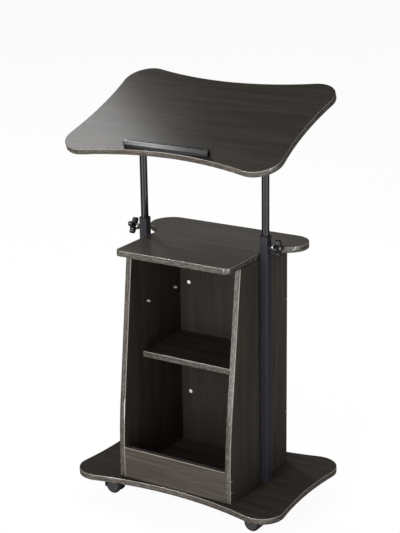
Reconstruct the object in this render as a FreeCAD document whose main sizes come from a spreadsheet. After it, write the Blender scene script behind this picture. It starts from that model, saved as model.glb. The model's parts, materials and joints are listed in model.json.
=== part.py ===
import FreeCAD
import Part
import PartDesign
import Sketcher
import math
import os
import re
from FreeCAD import Placement, Rotation, Vector

# Rolling laptop cart: a cabinet on a waisted base board, two posts with sliding tubes, and a
# desktop that tilts on them. Millimetres. The origin is on the floor under the middle of the base;
# +X is to the right seen from the front, +Y to the back, +Z up. What comes in pairs is drawn once
# for the right side and mirrored.

# Driving dimensions
SIZES = {
    # boards
    "board_thickness": 15,
    "back_thickness": 12,
    "band_thickness": 1,
    "waist_radius": 880,
    "base_length": 600,
    "base_depth": 396,
    "base_corner": 59,
    "desk_length": 596,
    "desk_depth": 390,
    "desk_corner": 59,
    # cabinet, heights over the base board
    "cabinet_width": 330,
    "panel_height": 595,
    "panel_depth": 290,
    "panel_rear": 128.5,
    "foot_height": 50,
    "front_arc": 1400,
    "front_setback": 57.3,
    "kick_height": 82,
    "shelf_height": 300,
    "shelf_depth": 182,
    "pin_inset": 26,
    "pin_spacing": 127,
    "pin_radius": 3,
    "pin_reach": 9,
    "spare_pin_height": 444.5,
    "top_width": 326,
    "top_front": 159,
    "top_rear": 170.5,
    "top_corner": 14,
    "wing_radius": 55,
    "wing_reach": 227,
    "wing_fillet": 45,
    # cabinet fasteners
    "kick_screw_low": 28,
    "kick_screw_high": 59,
    "back_screw_low": 143,
    "back_screw_high": 453.5,
    "barrel_radius": 5,
    "barrel_depth": 8,
    "barrel_inset": 27,
    "dowel_radius": 4,
    "dowel_length": 30,
    "dowel_seat_depth": 10,
    "dowel_front_offset": 70,
    "dowel_rear_offset": 90,
    "shank_radius": 2,
    "head_radius": 4,
    "head_height": 2.6,
    "screw_length": 30,
    # posts and tubes
    "post_size": 22,
    "post_wall": 1.2,
    "post_corner": 2,
    "post_height": 652,
    "post_forward": 2.5,
    "post_bolt_low": 60,
    "shelf_bolt_gap": 30,
    "bolt_radius": 3,
    "bolt_head": 5.5,
    "bolt_end_length": 6,
    "cap_height": 3,
    "prong_radius": 1.3,
    "prong_length": 14,
    "plug_length": 22,
    "tube_diameter": 19,
    "tube_wall": 1.2,
    "tube_insert_length": 180,
    # height knobs
    "knob_drop": 24.5,
    "knob_lobes": 4,
    "knob_radius": 21.5,
    "lobe_radius": 6.5,
    "lobe_hollow": 6.5,
    "knob_depth": 13,
    "knob_hub": 4,
    "hub_radius": 8,
    "knob_round": 2.5,
    "right_knob_turn": -4,
    "left_knob_turn": -30,
    "stud_radius": 4,
    "stud_gap": 13,
    "nut_radius": 7.5,
    "nut_height": 6.5,
    # tilting head
    "pivot_height": 894,
    "pivot_drop": 28,
    "pivot_radius": 4,
    "desk_tilt": 21,
    "tilt_most": 35,
    "slot_radius": 38,
    "slot_margin": 10,
    "tongue_width": 28,
    "tongue_thickness": 4,
    "tongue_length": 52,
    "flattening": 24,
    "ear_thickness": 2.5,
    "ear_edge": 11,
    "flange_width": 30,
    "flange_front": 50,
    "flange_rear": 40,
    "tilt_stud_radius": 3,
    "tilt_knob_radius": 16,
    "tilt_lobe": 5.5,
    "tilt_hollow": 6,
    "tilt_knob_depth": 13,
    "tilt_knob_turn": 45,
    # ledge
    "ledge_length": 236,
    "ledge_height": 17,
    "ledge_depth": 15,
    "ledge_setback": 0.5,
    "ledge_round": 2.5,
    "groove_radius": 2.5,
    "groove_depth": 4,
    "groove_inset": 5.5,
    # casters
    "caster_height": 58,
    "caster_side": 228,
    "caster_fore": 122,
    "caster_trail": 18,
    "wheel_diameter": 42,
    "wheel_width": 9,
    "wheel_spread": 13,
    "wheel_dome": 2.2,
    "axle_radius": 3,
    "plate_size": 42,
    "plate_thickness": 2.5,
    "plate_screw": 15,
    "kingpin_radius": 4,
    "kingpin_length": 22,
    "guard_gap": 1,
    "guard_thickness": 2,
    "boss_radius": 11,
    # fits
    "running_fit": 0.05,
    "loose_fit": 0.1,
    "air_gap": 0.3,
}

doc = FreeCAD.newDocument("laptop_cart")
sheet = doc.addObject("Spreadsheet::Sheet", "cart")
for row, (alias, number) in enumerate(SIZES.items(), start=1):
    sheet.set("A%d" % row, alias)
    sheet.set("B%d" % row, str(number))
    sheet.setAlias("B%d" % row, alias)
doc.recompute()

# Places that several pieces share
BASE_TOP = "caster_height + board_thickness"
INNER_HALF = "cabinet_width / 2 - board_thickness"
POST_OUT = "cabinet_width / 2 + post_size / 2"
POST_LINE = "-post_forward"
PANEL_FRONT = "panel_rear - panel_depth"
BACK_FRONT = "panel_rear - back_thickness"
SHELF_FRONT = BACK_FRONT + " - shelf_depth"
PIN_ROWS = (SHELF_FRONT + " + pin_inset", SHELF_FRONT + " + pin_inset + pin_spacing")
PIN_HEIGHTS = ("shelf_height - pin_radius", "spare_pin_height")
KICK_MIDDLE = PANEL_FRONT + " + board_thickness / 2"
BACK_MIDDLE = "panel_rear - back_thickness / 2"
KICK_SCREWS = ("kick_screw_low", "kick_screw_high")
BACK_SCREWS = ("back_screw_low", "back_screw_high")
PANEL_SCREWS = [
    (row, height)
    for row, heights in ((KICK_MIDDLE, KICK_SCREWS), (BACK_MIDDLE, BACK_SCREWS))
    for height in heights
]
POST_BOLTS = ("post_bolt_low", "shelf_height - shelf_bolt_gap")
DOWEL_ROWS = ("-dowel_front_offset", "dowel_rear_offset")
PANEL_MIDDLE = "cabinet_width / 2 - board_thickness / 2"
PIVOT = BASE_TOP + " + pivot_height"
KNOB_AXIS = BASE_TOP + " + post_height - knob_drop"
EAR_OUTER = POST_OUT + " - tongue_thickness / 2 - air_gap"
EAR_INNER = EAR_OUTER + " - ear_thickness"
BRACKET_SCREW_LINE = EAR_INNER + " - flange_width / 2"
BRACKET_SCREWS = ("-flange_front + 9", "-flange_front + 32", "flange_rear - 32", "flange_rear - 9")
DESK_EDGE = (
    "(desk_depth / 2 - desk_corner - waist_radius"
    " + sqrt((waist_radius + desk_corner)^2 - (desk_length / 2 - desk_corner)^2))"
)
LEDGE_FRONT = "-" + DESK_EDGE + " + ledge_setback"
LEDGE_SCREW_LINE = LEDGE_FRONT + " + ledge_depth - 4"
LEDGE_SCREWS = ("-ledge_length / 3", "0", "ledge_length / 3")
CORNERS = ((-1, -1), (1, -1), (1, 1), (-1, 1))

nodes = []


# Helpers: sizes and places
def bound(expression):
    """The expression with the sheet's name before each of its cells."""
    return re.sub(r"[a-z_]+", lambda word: "cart." * (word.group() in SIZES) + word.group(), expression)


def size(expression):
    """The number that an expression over the sheet gives."""
    return float(sheet.evalExpression(bound(expression)))


def point(x, y, z="0"):
    return Vector(size(x), size(y), size(z))


def set_place(thing, x, y, z, rotation=Rotation()):
    """Puts a piece at a place that follows the sheet."""
    thing.Placement = Placement(point(x, y, z), rotation)
    for axis, expression in zip("xyz", (x, y, z)):
        thing.setExpression("Placement.Base." + axis, bound(expression))


def set_on_desk(thing, x="0"):
    """Puts a piece in the desktop's frame: on the pivot line, tilted with the desktop."""
    set_place(thing, x, POST_LINE, PIVOT, Rotation(Vector(1, 0, 0), size("desk_tilt")))
    thing.setExpression("Placement.Rotation.Angle", bound("desk_tilt * 1 deg"))


def keep(thing, label):
    """Names a piece and lists it for export."""
    thing.Label = label
    nodes.append(thing)
    return thing


def new_body(label):
    body = doc.addObject("PartDesign::Body", label)
    body.Label = label
    return body


def mirrored(source, label, normal=Vector(1, 0, 0)):
    """The same piece on the other side of the cart's middle plane."""
    twin = doc.addObject("Part::Mirroring", label)
    twin.Source = source
    twin.Normal = normal
    twin.Base = Vector(0, 0, 0)
    twin.Label = label
    return twin


def grouped(label, pieces):
    """Separate solids that share one node."""
    group = doc.addObject("Part::Compound", label)
    group.Links = pieces
    return keep(group, label)


def both_sides(piece, name):
    """The right piece and its left twin, each a node of its own."""
    keep(piece, "right_" + name)
    return keep(mirrored(piece, "left_" + name), "left_" + name)


# Helpers: sketches
def new_sketch(body, plane="XY_Plane", lift="0"):
    """An empty sketch on a plane of the body, lifted along the plane's normal."""
    sketch = body.newObject("Sketcher::SketchObject", body.Label + "_sketch")
    support = [item for item in body.Origin.OriginFeatures if item.Role == plane][0]
    sketch.AttachmentSupport = (support, [""])
    sketch.MapMode = "FlatFace"
    sketch.AttachmentOffset = Placement(Vector(0, 0, size(lift)), Rotation())
    sketch.setExpression("AttachmentOffset.Base.z", bound(lift))
    return sketch


def rule(sketch, kind, *where):
    return sketch.addConstraint(Sketcher.Constraint(kind, *where))


def dim(sketch, expression, kind, *where):
    """A dimension of a sketch that follows the sheet."""
    index = rule(sketch, kind, *where, size(expression))
    sketch.setExpression("Constraints[%d]" % index, bound(expression))


def fix_point(sketch, edge, end, x=None, y=None):
    """Holds a point of the sketch at a distance from its axes."""
    for kind, axis, expression in (("DistanceX", -2, x), ("DistanceY", -1, y)):
        if expression == "0":
            rule(sketch, "PointOnObject", edge, end, axis)
        elif expression is not None:
            dim(sketch, expression, kind, -1, 1, edge, end)


def arc_between(centre, start, end):
    """The arc that runs anticlockwise round a centre from one point to another."""
    first = math.atan2(start.y - centre.y, start.x - centre.x)
    last = math.atan2(end.y - centre.y, end.x - centre.x)
    if last <= first:
        last += 2 * math.pi
    circle = Part.Circle(centre, Vector(0, 0, 1), (start - centre).Length)
    return Part.ArcOfCircle(circle, first, last)


def chain(sketch, edges, kind="Tangent", closed=True):
    """Adds edges end to end; an edge is given with False when it is run against its own sense."""
    lines = [sketch.addGeometry(edge) for edge, forward in edges]
    ends = [(2, 1) if forward else (1, 2) for edge, forward in edges]
    kinds = (kind,) * len(lines) if isinstance(kind, str) else kind
    last = len(lines) if closed else len(lines) - 1
    for here in range(last):
        there = (here + 1) % len(lines)
        rule(sketch, kinds[here], lines[here], ends[here][0], lines[there], ends[there][1])
    return lines


def polygon(sketch, corners):
    """A closed outline of straight lines."""
    spots = [point(x, y) for x, y in corners]
    edges = [(Part.LineSegment(spots[i - 1], spots[i]), True) for i in range(len(spots))]
    lines = chain(sketch, edges, kind="Coincident")
    for line, (x, y) in zip(lines, corners):
        fix_point(sketch, line, 2, x, y)
    return lines


def rectangle(sketch, left, right, low, high):
    return polygon(sketch, ((left, low), (right, low), (right, high), (left, high)))


def circle(sketch, x, y, radius):
    edge = sketch.addGeometry(Part.Circle(point(x, y), Vector(0, 0, 1), size(radius)))
    fix_point(sketch, edge, 3, x, y)
    dim(sketch, radius, "Radius", edge)


def rounded_square(sketch, half, radius):
    """A square round the sketch's origin with round corners."""
    edges = []
    reach = size(half)
    turn = size(radius)
    flat = reach - turn
    for quarter in range(4):
        spin = Rotation(Vector(0, 0, 1), 90 * quarter)
        start, end = Vector(-flat, -reach, 0), Vector(flat, -reach, 0)
        middle, corner = Vector(flat, -flat, 0), Vector(reach, -flat, 0)
        edges.append((Part.LineSegment(spin.multVec(start), spin.multVec(end)), True))
        edges.append((arc_between(spin.multVec(middle), spin.multVec(end), spin.multVec(corner)), True))
    lines = chain(sketch, edges)
    for quarter, (flat_rule, expression) in enumerate(
        (("Horizontal", "-(%s)"), ("Vertical", "%s"), ("Horizontal", "%s"), ("Vertical", "-(%s)"))
    ):
        side = lines[2 * quarter]
        rule(sketch, flat_rule, side)
        reach_text = expression % half
        if flat_rule == "Horizontal":
            fix_point(sketch, side, 1, y=reach_text)
        else:
            fix_point(sketch, side, 1, x=reach_text)
        dim(sketch, radius, "Radius", lines[2 * quarter + 1])


def slot(sketch, half_length, y, radius):
    """A long hole with round ends, along the sketch's X."""
    reach, middle, turn = size(half_length), size(y), size(radius)
    right, left = Vector(reach, middle, 0), Vector(-reach, middle, 0)
    up = Vector(0, turn, 0)
    lines = chain(sketch, [
        (Part.LineSegment(left - up, right - up), True),
        (arc_between(right, right - up, right + up), True),
        (Part.LineSegment(right + up, left + up), True),
        (arc_between(left, left + up, left - up), True),
    ])
    fix_point(sketch, lines[1], 3, half_length, y)
    fix_point(sketch, lines[3], 3, "-(%s)" % half_length, y)
    dim(sketch, radius, "Radius", lines[1])


def waisted_outline(sketch, centres, corner_radius, hollow_radius):
    """Round corners joined by hollow arcs: the base, the desktop and the star knobs."""
    spots = [point(x, y) for x, y in centres]
    corner, hollow = size(corner_radius), size(hollow_radius)
    share = corner / (corner + hollow)
    hollows = []
    for here, there in zip(spots, spots[1:] + spots[:1]):
        along = there - here
        outward = Vector(along.y, -along.x, 0).normalize()
        reach = math.sqrt((corner + hollow) ** 2 - (along.Length / 2) ** 2)
        hollows.append((here + there) * 0.5 + outward * reach)
    edges = []
    for i, here in enumerate(spots):
        there = spots[(i + 1) % len(spots)]
        before, after = hollows[i - 1], hollows[i]
        leave = here + (after - here) * share
        arrive = there + (after - there) * share
        edges.append((arc_between(here, here + (before - here) * share, leave), True))
        edges.append((arc_between(after, arrive, leave), False))
    lines = chain(sketch, edges)
    for i, (x, y) in enumerate(centres):
        fix_point(sketch, lines[2 * i], 3, x, y)
        dim(sketch, corner_radius, "Radius", lines[2 * i])
        dim(sketch, hollow_radius, "Radius", lines[2 * i + 1])


# Helpers: features
def shaped(body, kind, sketch, length, backward=False, symmetric=False):
    """Pads or pockets a sketch."""
    feature = body.newObject("PartDesign::" + kind, body.Label + "_" + kind.lower())
    feature.Profile = sketch
    feature.SideType = "Symmetric" if symmetric else "One side"
    feature.Reversed = backward
    feature.Length = size(length)
    feature.setExpression("Length", bound(length))
    return feature


def pad(body, sketch, length, **options):
    return shaped(body, "Pad", sketch, length, **options)


def pocket(body, sketch, length, **options):
    return shaped(body, "Pocket", sketch, length, **options)


def drill(body, spots, radius, depth, plane="XY_Plane", lift="0", backward=False):
    """Round holes at the given spots of a plane, cut against its normal or, backward, along it."""
    sketch = new_sketch(body, plane, lift)
    for x, y in spots:
        circle(sketch, x, y, radius)
    return pocket(body, sketch, depth, backward=backward)


def round_edges(body, radius, wanted):
    """Rounds the edges of the body so far that the test picks."""
    doc.recompute()
    base = body.Tip
    names = ["Edge%d" % number for number, edge in enumerate(base.Shape.Edges, 1) if wanted(edge)]
    feature = body.newObject("PartDesign::Fillet", body.Label + "_fillet")
    feature.Base = (base, names)
    feature.Radius = size(radius)
    feature.setExpression("Radius", bound(radius))


def box(label, across, deep, high):
    """A plain board between two limits each way."""
    thing = doc.addObject("Part::Box", label)
    for side, (low, top) in (("Length", across), ("Width", deep), ("Height", high)):
        thing.setExpression(side, bound("(%s) - (%s)" % (top, low)))
    set_place(thing, across[0], deep[0], high[0])
    return thing


def rod(label, radius, length):
    thing = doc.addObject("Part::Cylinder", label)
    thing.setExpression("Radius", bound(radius))
    thing.setExpression("Height", bound(length))
    return thing


def hex_piece(label, kind, radius, height, core_radius, core_length):
    """A hexagon with a round bore (Part::Cut) or on a round shank (Part::Fuse), along its own Z."""
    hexagon = doc.addObject("Part::Prism", label + "_hexagon")
    hexagon.Polygon = 6
    hexagon.setExpression("Circumradius", bound(radius))
    hexagon.setExpression("Height", bound(height))
    piece = doc.addObject(kind, label)
    piece.Base = hexagon
    piece.Tool = rod(label + "_core", core_radius, core_length)
    return piece


# Helpers: small turned fasteners
def turned(profile):
    """A solid turned about Z from (radius, height) pairs."""
    spots = [Vector(size(radius), 0, size(height)) for radius, height in profile]
    return Part.Face(Part.makePolygon(spots + spots[:1])).revolve(Vector(), Vector(0, 0, 1), 360)


def pan_screw(length, shank="shank_radius", head="head_radius", height="head_height"):
    """A screw with its head above Z = 0, rounded at the rim, and its shank below."""
    return turned((
        ("0", "-(%s)" % length),
        (shank + " * 0.4", "-(%s)" % length),
        (shank, "-(%s) + %s * 1.5" % (length, shank)),
        (shank, "0"),
        (head, "0"),
        (head, height + " * 0.45"),
        (head + " * 0.7", height),
        ("0", height),
    ))


def copies(label, shape, places):
    """Identical fasteners as one node; a place is a spot and the way that the head points."""
    solids = []
    for spot, heading in places:
        solid = shape.copy()
        solid.Placement = Placement(spot, Rotation(Vector(0, 0, 1), Vector(*heading)))
        solids.append(solid)
    group = doc.addObject("Part::Feature", label)
    group.Shape = Part.makeCompound(solids)
    return keep(group, label)


# Base board
def board_corners(length, depth, corner):
    return [
        ("%d * (%s / 2 - %s)" % (x, length, corner), "%d * (%s / 2 - %s)" % (y, depth, corner))
        for x, y in CORNERS
    ]


def board_outline(sketch, name, inset):
    centres = board_corners(name + "_length", name + "_depth", name + "_corner")
    waisted_outline(sketch, centres, "%s_corner - %s" % (name, inset), "waist_radius + " + inset)


def board_band(name, lift):
    """The band glued round a waisted board."""
    body = new_body(name + "_band")
    sketch = new_sketch(body, lift=lift)
    board_outline(sketch, name, "0")
    board_outline(sketch, name, "band_thickness")
    pad(body, sketch, "board_thickness")
    return keep(body, name + "_band")


def caster_spots():
    return [("%d * caster_side" % x, "%d * caster_fore" % y) for x, y in CORNERS]


def plate_spots():
    return [
        ("%s + %d * plate_screw" % (x, i), "%s + %d * plate_screw" % (y, j))
        for x, y in caster_spots()
        for i, j in CORNERS
    ]


def panel_foot_spots():
    return [("%d * (%s)" % (side, PANEL_MIDDLE), row) for side in (-1, 1) for row in DOWEL_ROWS]


def post_spots():
    return [("%d * (%s)" % (side, POST_OUT), POST_LINE) for side in (-1, 1)]


def make_base():
    body = new_body("base_board")
    sketch = new_sketch(body, lift="caster_height")
    board_outline(sketch, "base", "band_thickness")
    pad(body, sketch, "board_thickness")
    drill(body, plate_spots(), "shank_radius + loose_fit", "12", lift="caster_height", backward=True)
    drill(body, panel_foot_spots(), "shank_radius + loose_fit", "board_thickness + 1", lift=BASE_TOP)
    drill(body, post_spots(), "bolt_radius + loose_fit", "board_thickness + 1", lift=BASE_TOP)
    keep(body, "base_board")
    board_band("base", "caster_height")


# Side panels
def front_curve(sketch, inset):
    """The front edge: upright at the foot, an arc, then leaning back to the top."""
    front, top = PANEL_FRONT + " + " + inset, PANEL_FRONT + " + front_setback + " + inset
    turn = "front_arc - " + inset
    low, bend = point(front, "0"), point(front, "foot_height")
    high = point(top, "panel_height")
    centre = bend + Vector(size(turn), 0, 0)
    away = high - centre
    angle = math.atan2(away.y, away.x) + math.acos(size(turn) / away.Length)
    touch = centre + Vector(math.cos(angle), math.sin(angle), 0) * size(turn)
    edges = [
        (Part.LineSegment(low, bend), True),
        (arc_between(centre, touch, bend), False),
        (Part.LineSegment(touch, high), True),
    ]
    lines = chain(sketch, edges, closed=False)
    rule(sketch, "Vertical", lines[0])
    fix_point(sketch, lines[0], 1, front, "0")
    fix_point(sketch, lines[0], 2, y="foot_height")
    fix_point(sketch, lines[2], 2, top, "panel_height")
    dim(sketch, turn, "Radius", lines[1])
    return lines[0], lines[2], low, high


def join_line(sketch, start, start_end, end, end_end, first, last):
    """A straight line from an end of one edge to an end of another."""
    line = sketch.addGeometry(Part.LineSegment(first, last))
    rule(sketch, "Coincident", line, 1, start, start_end)
    rule(sketch, "Coincident", line, 2, end, end_end)
    return line


def make_panels():
    body = new_body("right_panel")
    set_place(body, INNER_HALF, "0", BASE_TOP)
    sketch = new_sketch(body, "YZ_Plane")
    foot, head, low, high = front_curve(sketch, "band_thickness")
    rear_low, rear_high = point("panel_rear", "0"), point("panel_rear", "panel_height")
    rear = sketch.addGeometry(Part.LineSegment(rear_low, rear_high))
    fix_point(sketch, rear, 1, "panel_rear", "0")
    fix_point(sketch, rear, 2, "panel_rear", "panel_height")
    join_line(sketch, foot, 1, rear, 1, low, rear_low)
    join_line(sketch, head, 2, rear, 2, high, rear_high)
    pad(body, sketch, "board_thickness")
    pins = [(row, height) for row in PIN_ROWS for height in PIN_HEIGHTS]
    drill(body, pins, "pin_radius - 0.5 + loose_fit", "pin_reach + 1", plane="YZ_Plane", backward=True)
    through = {"plane": "YZ_Plane", "backward": True}
    drill(body, PANEL_SCREWS, "shank_radius + loose_fit", "board_thickness + 1", **through)
    bolts = [(POST_LINE, height) for height in POST_BOLTS]
    drill(body, bolts, "bolt_radius + loose_fit", "board_thickness + 1", plane="YZ_Plane", backward=True)
    edge = [("board_thickness / 2", row) for row in DOWEL_ROWS]
    drill(body, edge, "dowel_radius + loose_fit", "dowel_length - dowel_seat_depth", lift="panel_height")
    drill(body, edge, "shank_radius + loose_fit", "screw_length", backward=True)
    both_sides(body, "panel")

    band = new_body("right_panel_band")
    set_place(band, INNER_HALF, "0", BASE_TOP)
    sketch = new_sketch(band, "YZ_Plane")
    outer_foot, outer_head, outer_low, outer_high = front_curve(sketch, "0")
    foot, head, low, high = front_curve(sketch, "band_thickness")
    join_line(sketch, outer_foot, 1, foot, 1, outer_low, low)
    join_line(sketch, outer_head, 2, head, 2, outer_high, high)
    pad(band, sketch, "board_thickness")
    both_sides(band, "panel_band")


# Back panel, kick panel and shelves
def cross_board(label, front, rear, high):
    """An upright board between the side panels."""
    body = new_body(label)
    set_place(body, "0", "0", BASE_TOP)
    sketch = new_sketch(body, "YZ_Plane")
    rectangle(sketch, front, rear, "0", high)
    pad(body, sketch, "cabinet_width - 2 * board_thickness", symmetric=True)
    return body


def end_holes(body, spots):
    """Pilot holes in both ends of a cross board."""
    reach = "screw_length - board_thickness + 1"
    drill(body, spots, "shank_radius + loose_fit", reach, plane="YZ_Plane", lift=INNER_HALF)
    left = "-(%s)" % INNER_HALF
    drill(body, spots, "shank_radius + loose_fit", reach, plane="YZ_Plane", lift=left, backward=True)


def make_cross_boards():
    between = ("-(%s)" % INNER_HALF, INNER_HALF)
    kick_rear = PANEL_FRONT + " + board_thickness"
    kick = cross_board("kick_panel", PANEL_FRONT, kick_rear, "kick_height - band_thickness")
    end_holes(kick, [(KICK_MIDDLE, height) for height in KICK_SCREWS])
    keep(kick, "kick_panel")
    kick_top = (BASE_TOP + " + kick_height - band_thickness", BASE_TOP + " + kick_height")
    keep(box("kick_band", between, (PANEL_FRONT, kick_rear), kick_top), "kick_band")

    back = cross_board("back_panel", BACK_FRONT, "panel_rear", "panel_height")
    end_holes(back, [(BACK_MIDDLE, height) for height in BACK_SCREWS])
    barrels = [
        ("%d * (%s - barrel_inset)" % (side, INNER_HALF), height)
        for side in (-1, 1)
        for height in BACK_SCREWS
    ]
    face = "-(%s)" % BACK_FRONT
    drill(back, barrels, "barrel_radius + loose_fit", "barrel_depth", plane="XZ_Plane", lift=face)
    keep(back, "back_panel")

    low = BASE_TOP + " + shelf_height"
    high = (low, low + " + board_thickness")
    core_front = SHELF_FRONT + " + band_thickness"
    keep(box("middle_shelf", between, (core_front, BACK_FRONT), high), "middle_shelf")
    keep(box("shelf_band", between, (SHELF_FRONT, core_front), high), "shelf_band")


# Cabinet top
def top_outline(sketch, inset):
    """T-shaped: a narrow front, a hollow fillet on each side and two round wings at the back."""
    half, front = "top_width / 2 - " + inset, "top_front - " + inset
    corner, fillet, wing = "top_corner - " + inset, "wing_fillet + " + inset, "wing_radius - " + inset
    wing_x, wing_y = "wing_reach - wing_radius", "top_rear - wing_radius"
    side_x, front_y, turn = size(half), -size(front), size(corner)
    wing_spot = point(wing_x, wing_y)
    fillet_x = side_x + size(fillet)
    drop = math.sqrt((size(fillet) + size(wing)) ** 2 - (fillet_x - wing_spot.x) ** 2)
    fillet_spot = Vector(fillet_x, wing_spot.y - drop, 0)
    corner_spot = Vector(side_x - turn, front_y + turn, 0)
    meet = wing_spot + (fillet_spot - wing_spot) * (size(wing) / (size(wing) + size(fillet)))
    crown = wing_spot + Vector(0, size(wing), 0)
    side_low, side_high = Vector(side_x, corner_spot.y, 0), Vector(side_x, fillet_spot.y, 0)
    front_end = Vector(corner_spot.x, front_y, 0)

    def flip(spot):
        return Vector(-spot.x, spot.y, 0)

    lines = chain(sketch, [
        (Part.LineSegment(flip(front_end), front_end), True),
        (arc_between(corner_spot, front_end, side_low), True),
        (Part.LineSegment(side_low, side_high), True),
        (arc_between(fillet_spot, meet, side_high), False),
        (arc_between(wing_spot, meet, crown), True),
        (Part.LineSegment(crown, flip(crown)), True),
        (arc_between(flip(wing_spot), flip(crown), flip(meet)), True),
        (arc_between(flip(fillet_spot), flip(side_high), flip(meet)), False),
        (Part.LineSegment(flip(side_high), flip(side_low)), True),
        (arc_between(flip(corner_spot), flip(side_low), flip(front_end)), True),
    ])
    rule(sketch, "Horizontal", lines[0])
    fix_point(sketch, lines[0], 1, y="-(%s)" % front)
    for side, edge in (("%s", lines[2]), ("-(%s)", lines[8])):
        rule(sketch, "Vertical", edge)
        fix_point(sketch, edge, 1, x=side % half)
    for edge, radius in zip(lines[1:5] + lines[6:], (corner, None, fillet, wing, wing, fillet, None, corner)):
        if radius:
            dim(sketch, radius, "Radius", edge)
    fix_point(sketch, lines[4], 3, wing_x, wing_y)
    fix_point(sketch, lines[6], 3, "-(%s)" % wing_x, wing_y)


def make_top():
    body = new_body("top_shelf")
    set_place(body, "0", "0", BASE_TOP + " + panel_height")
    sketch = new_sketch(body)
    top_outline(sketch, "band_thickness")
    pad(body, sketch, "board_thickness")
    drill(body, panel_foot_spots(), "dowel_radius + loose_fit", "dowel_seat_depth", backward=True)
    keep(body, "top_shelf")
    band = new_body("top_band")
    set_place(band, "0", "0", BASE_TOP + " + panel_height")
    sketch = new_sketch(band)
    top_outline(sketch, "0")
    top_outline(sketch, "band_thickness")
    pad(band, sketch, "board_thickness")
    keep(band, "top_band")


# Cabinet fasteners
def make_cabinet_fasteners():
    outward = [(side, "%d * cabinet_width / 2" % side) for side in (-1, 1)]
    copies("panel_screws", pan_screw("screw_length"), [
        (point(x, y, BASE_TOP + " + " + height), (side, 0, 0))
        for side, x in outward
        for y, height in PANEL_SCREWS
    ])
    copies("base_screws", pan_screw("board_thickness + screw_length - 1"), [
        (point(x, y, "caster_height"), (0, 0, -1)) for x, y in panel_foot_spots()
    ])
    dowel = turned((
        ("0", "0"), ("dowel_radius", "0"), ("dowel_radius", "dowel_length"), ("0", "dowel_length"),
    ))
    copies("top_dowels", dowel, [
        (point(x, y, BASE_TOP + " + panel_height + dowel_seat_depth - dowel_length"), (0, 0, 1))
        for x, y in panel_foot_spots()
    ])
    barrel = turned((
        ("0", "0"), ("barrel_radius", "0"), ("barrel_radius", "barrel_depth"),
        ("barrel_radius * 0.5", "barrel_depth"), ("barrel_radius * 0.4", "barrel_depth - 1.5"),
        ("0", "barrel_depth - 1.5"),
    ))
    seat = BACK_FRONT + " + barrel_depth"
    copies("barrel_nuts", barrel, [
        (point("%d * (%s - barrel_inset)" % (side, INNER_HALF), seat, BASE_TOP + " + " + height), (0, -1, 0))
        for side in (-1, 1)
        for height in BACK_SCREWS
    ])
    pin = turned((
        ("0", "-pin_reach"), ("pin_radius - 0.5", "-pin_reach"), ("pin_radius - 0.5", "0"),
        ("pin_radius", "0"), ("pin_radius", "pin_reach - 0.8"), ("pin_radius - 0.8", "pin_reach"),
        ("0", "pin_reach"),
    ))
    copies("shelf_pins", pin, [
        (point("%d * (%s)" % (side, INNER_HALF), row, BASE_TOP + " + " + height), (-side, 0, 0))
        for side in (-1, 1)
        for row in PIN_ROWS
        for height in PIN_HEIGHTS
    ])


# Posts
def make_posts():
    post = new_body("right_post")
    set_place(post, POST_OUT, POST_LINE, BASE_TOP)
    sketch = new_sketch(post)
    rounded_square(sketch, "post_size / 2", "post_corner")
    rounded_square(sketch, "post_size / 2 - post_wall", "post_corner - post_wall")
    pad(post, sketch, "post_height")
    clamp = [("0", "post_height - knob_drop")]
    drill(post, clamp, "stud_radius + 0.5", "post_wall + 1", plane="YZ_Plane", lift="post_size / 2")
    bolts = [("0", height) for height in POST_BOLTS]
    wall = "-post_size / 2"
    drill(post, bolts, "bolt_radius + loose_fit", "post_wall + 1", plane="YZ_Plane", lift=wall, backward=True)
    both_sides(post, "post")

    cap = new_body("post_cap")
    set_place(cap, POST_OUT, POST_LINE, BASE_TOP + " + post_height")
    sketch = new_sketch(cap)
    rounded_square(sketch, "post_size / 2", "post_corner")
    circle(sketch, "0", "0", "tube_diameter / 2 + running_fit")
    pad(cap, sketch, "cap_height")
    sketch = new_sketch(cap)
    corner = "%d * (post_size / 2 - post_wall - prong_radius - loose_fit)"
    for x, y in CORNERS:
        circle(sketch, corner % x, corner % y, "prong_radius")
    pad(cap, sketch, "prong_length", backward=True)
    grouped("post_caps", [cap, mirrored(cap, "left_post_cap")])

    plug = new_body("foot_plug")
    set_place(plug, POST_OUT, POST_LINE, BASE_TOP)
    sketch = new_sketch(plug)
    rounded_square(sketch, "post_size / 2 - post_wall - loose_fit", "post_corner - post_wall")
    circle(sketch, "0", "0", "bolt_radius + loose_fit")
    pad(plug, sketch, "plug_length")
    grouped("foot_plugs", [plug, mirrored(plug, "left_foot_plug")])

    nut = hex_piece(
        "clamp_nut", "Part::Cut", "nut_radius", "nut_height", "stud_radius + running_fit", "nut_height"
    )
    set_place(nut, POST_OUT + " + post_size / 2", POST_LINE, KNOB_AXIS, Rotation(Vector(0, 1, 0), 90))
    grouped("clamp_nuts", [nut, mirrored(nut, "left_clamp_nut")])

    thick = ("bolt_radius", "bolt_head", "bolt_radius")
    copies("post_bolts", pan_screw("board_thickness + post_wall + bolt_end_length", *thick), [
        (point("%d * (%s)" % (side, INNER_HALF), POST_LINE, BASE_TOP + " + " + height), (-side, 0, 0))
        for side in (-1, 1)
        for height in POST_BOLTS
    ])
    copies("foot_bolts", pan_screw("board_thickness + plug_length - 2", *thick), [
        (point(x, y, "caster_height"), (0, 0, -1)) for x, y in post_spots()
    ])


# Star knobs
def star(body, radius, lobe, hollow, depth, lift, turn):
    """The lobed grip of a knob, padded along the body's X."""
    lobes = int(SIZES["knob_lobes"])
    sketch = new_sketch(body, "YZ_Plane", lift)
    reach = "(%s - %s)" % (radius, lobe)
    angles = ["(%d / knob_lobes + %s)" % (360 * i, turn) for i in range(lobes)]
    centres = [(reach + " * cos" + angle, reach + " * sin" + angle) for angle in angles]
    waisted_outline(sketch, centres, lobe, hollow)
    pad(body, sketch, depth)


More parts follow.
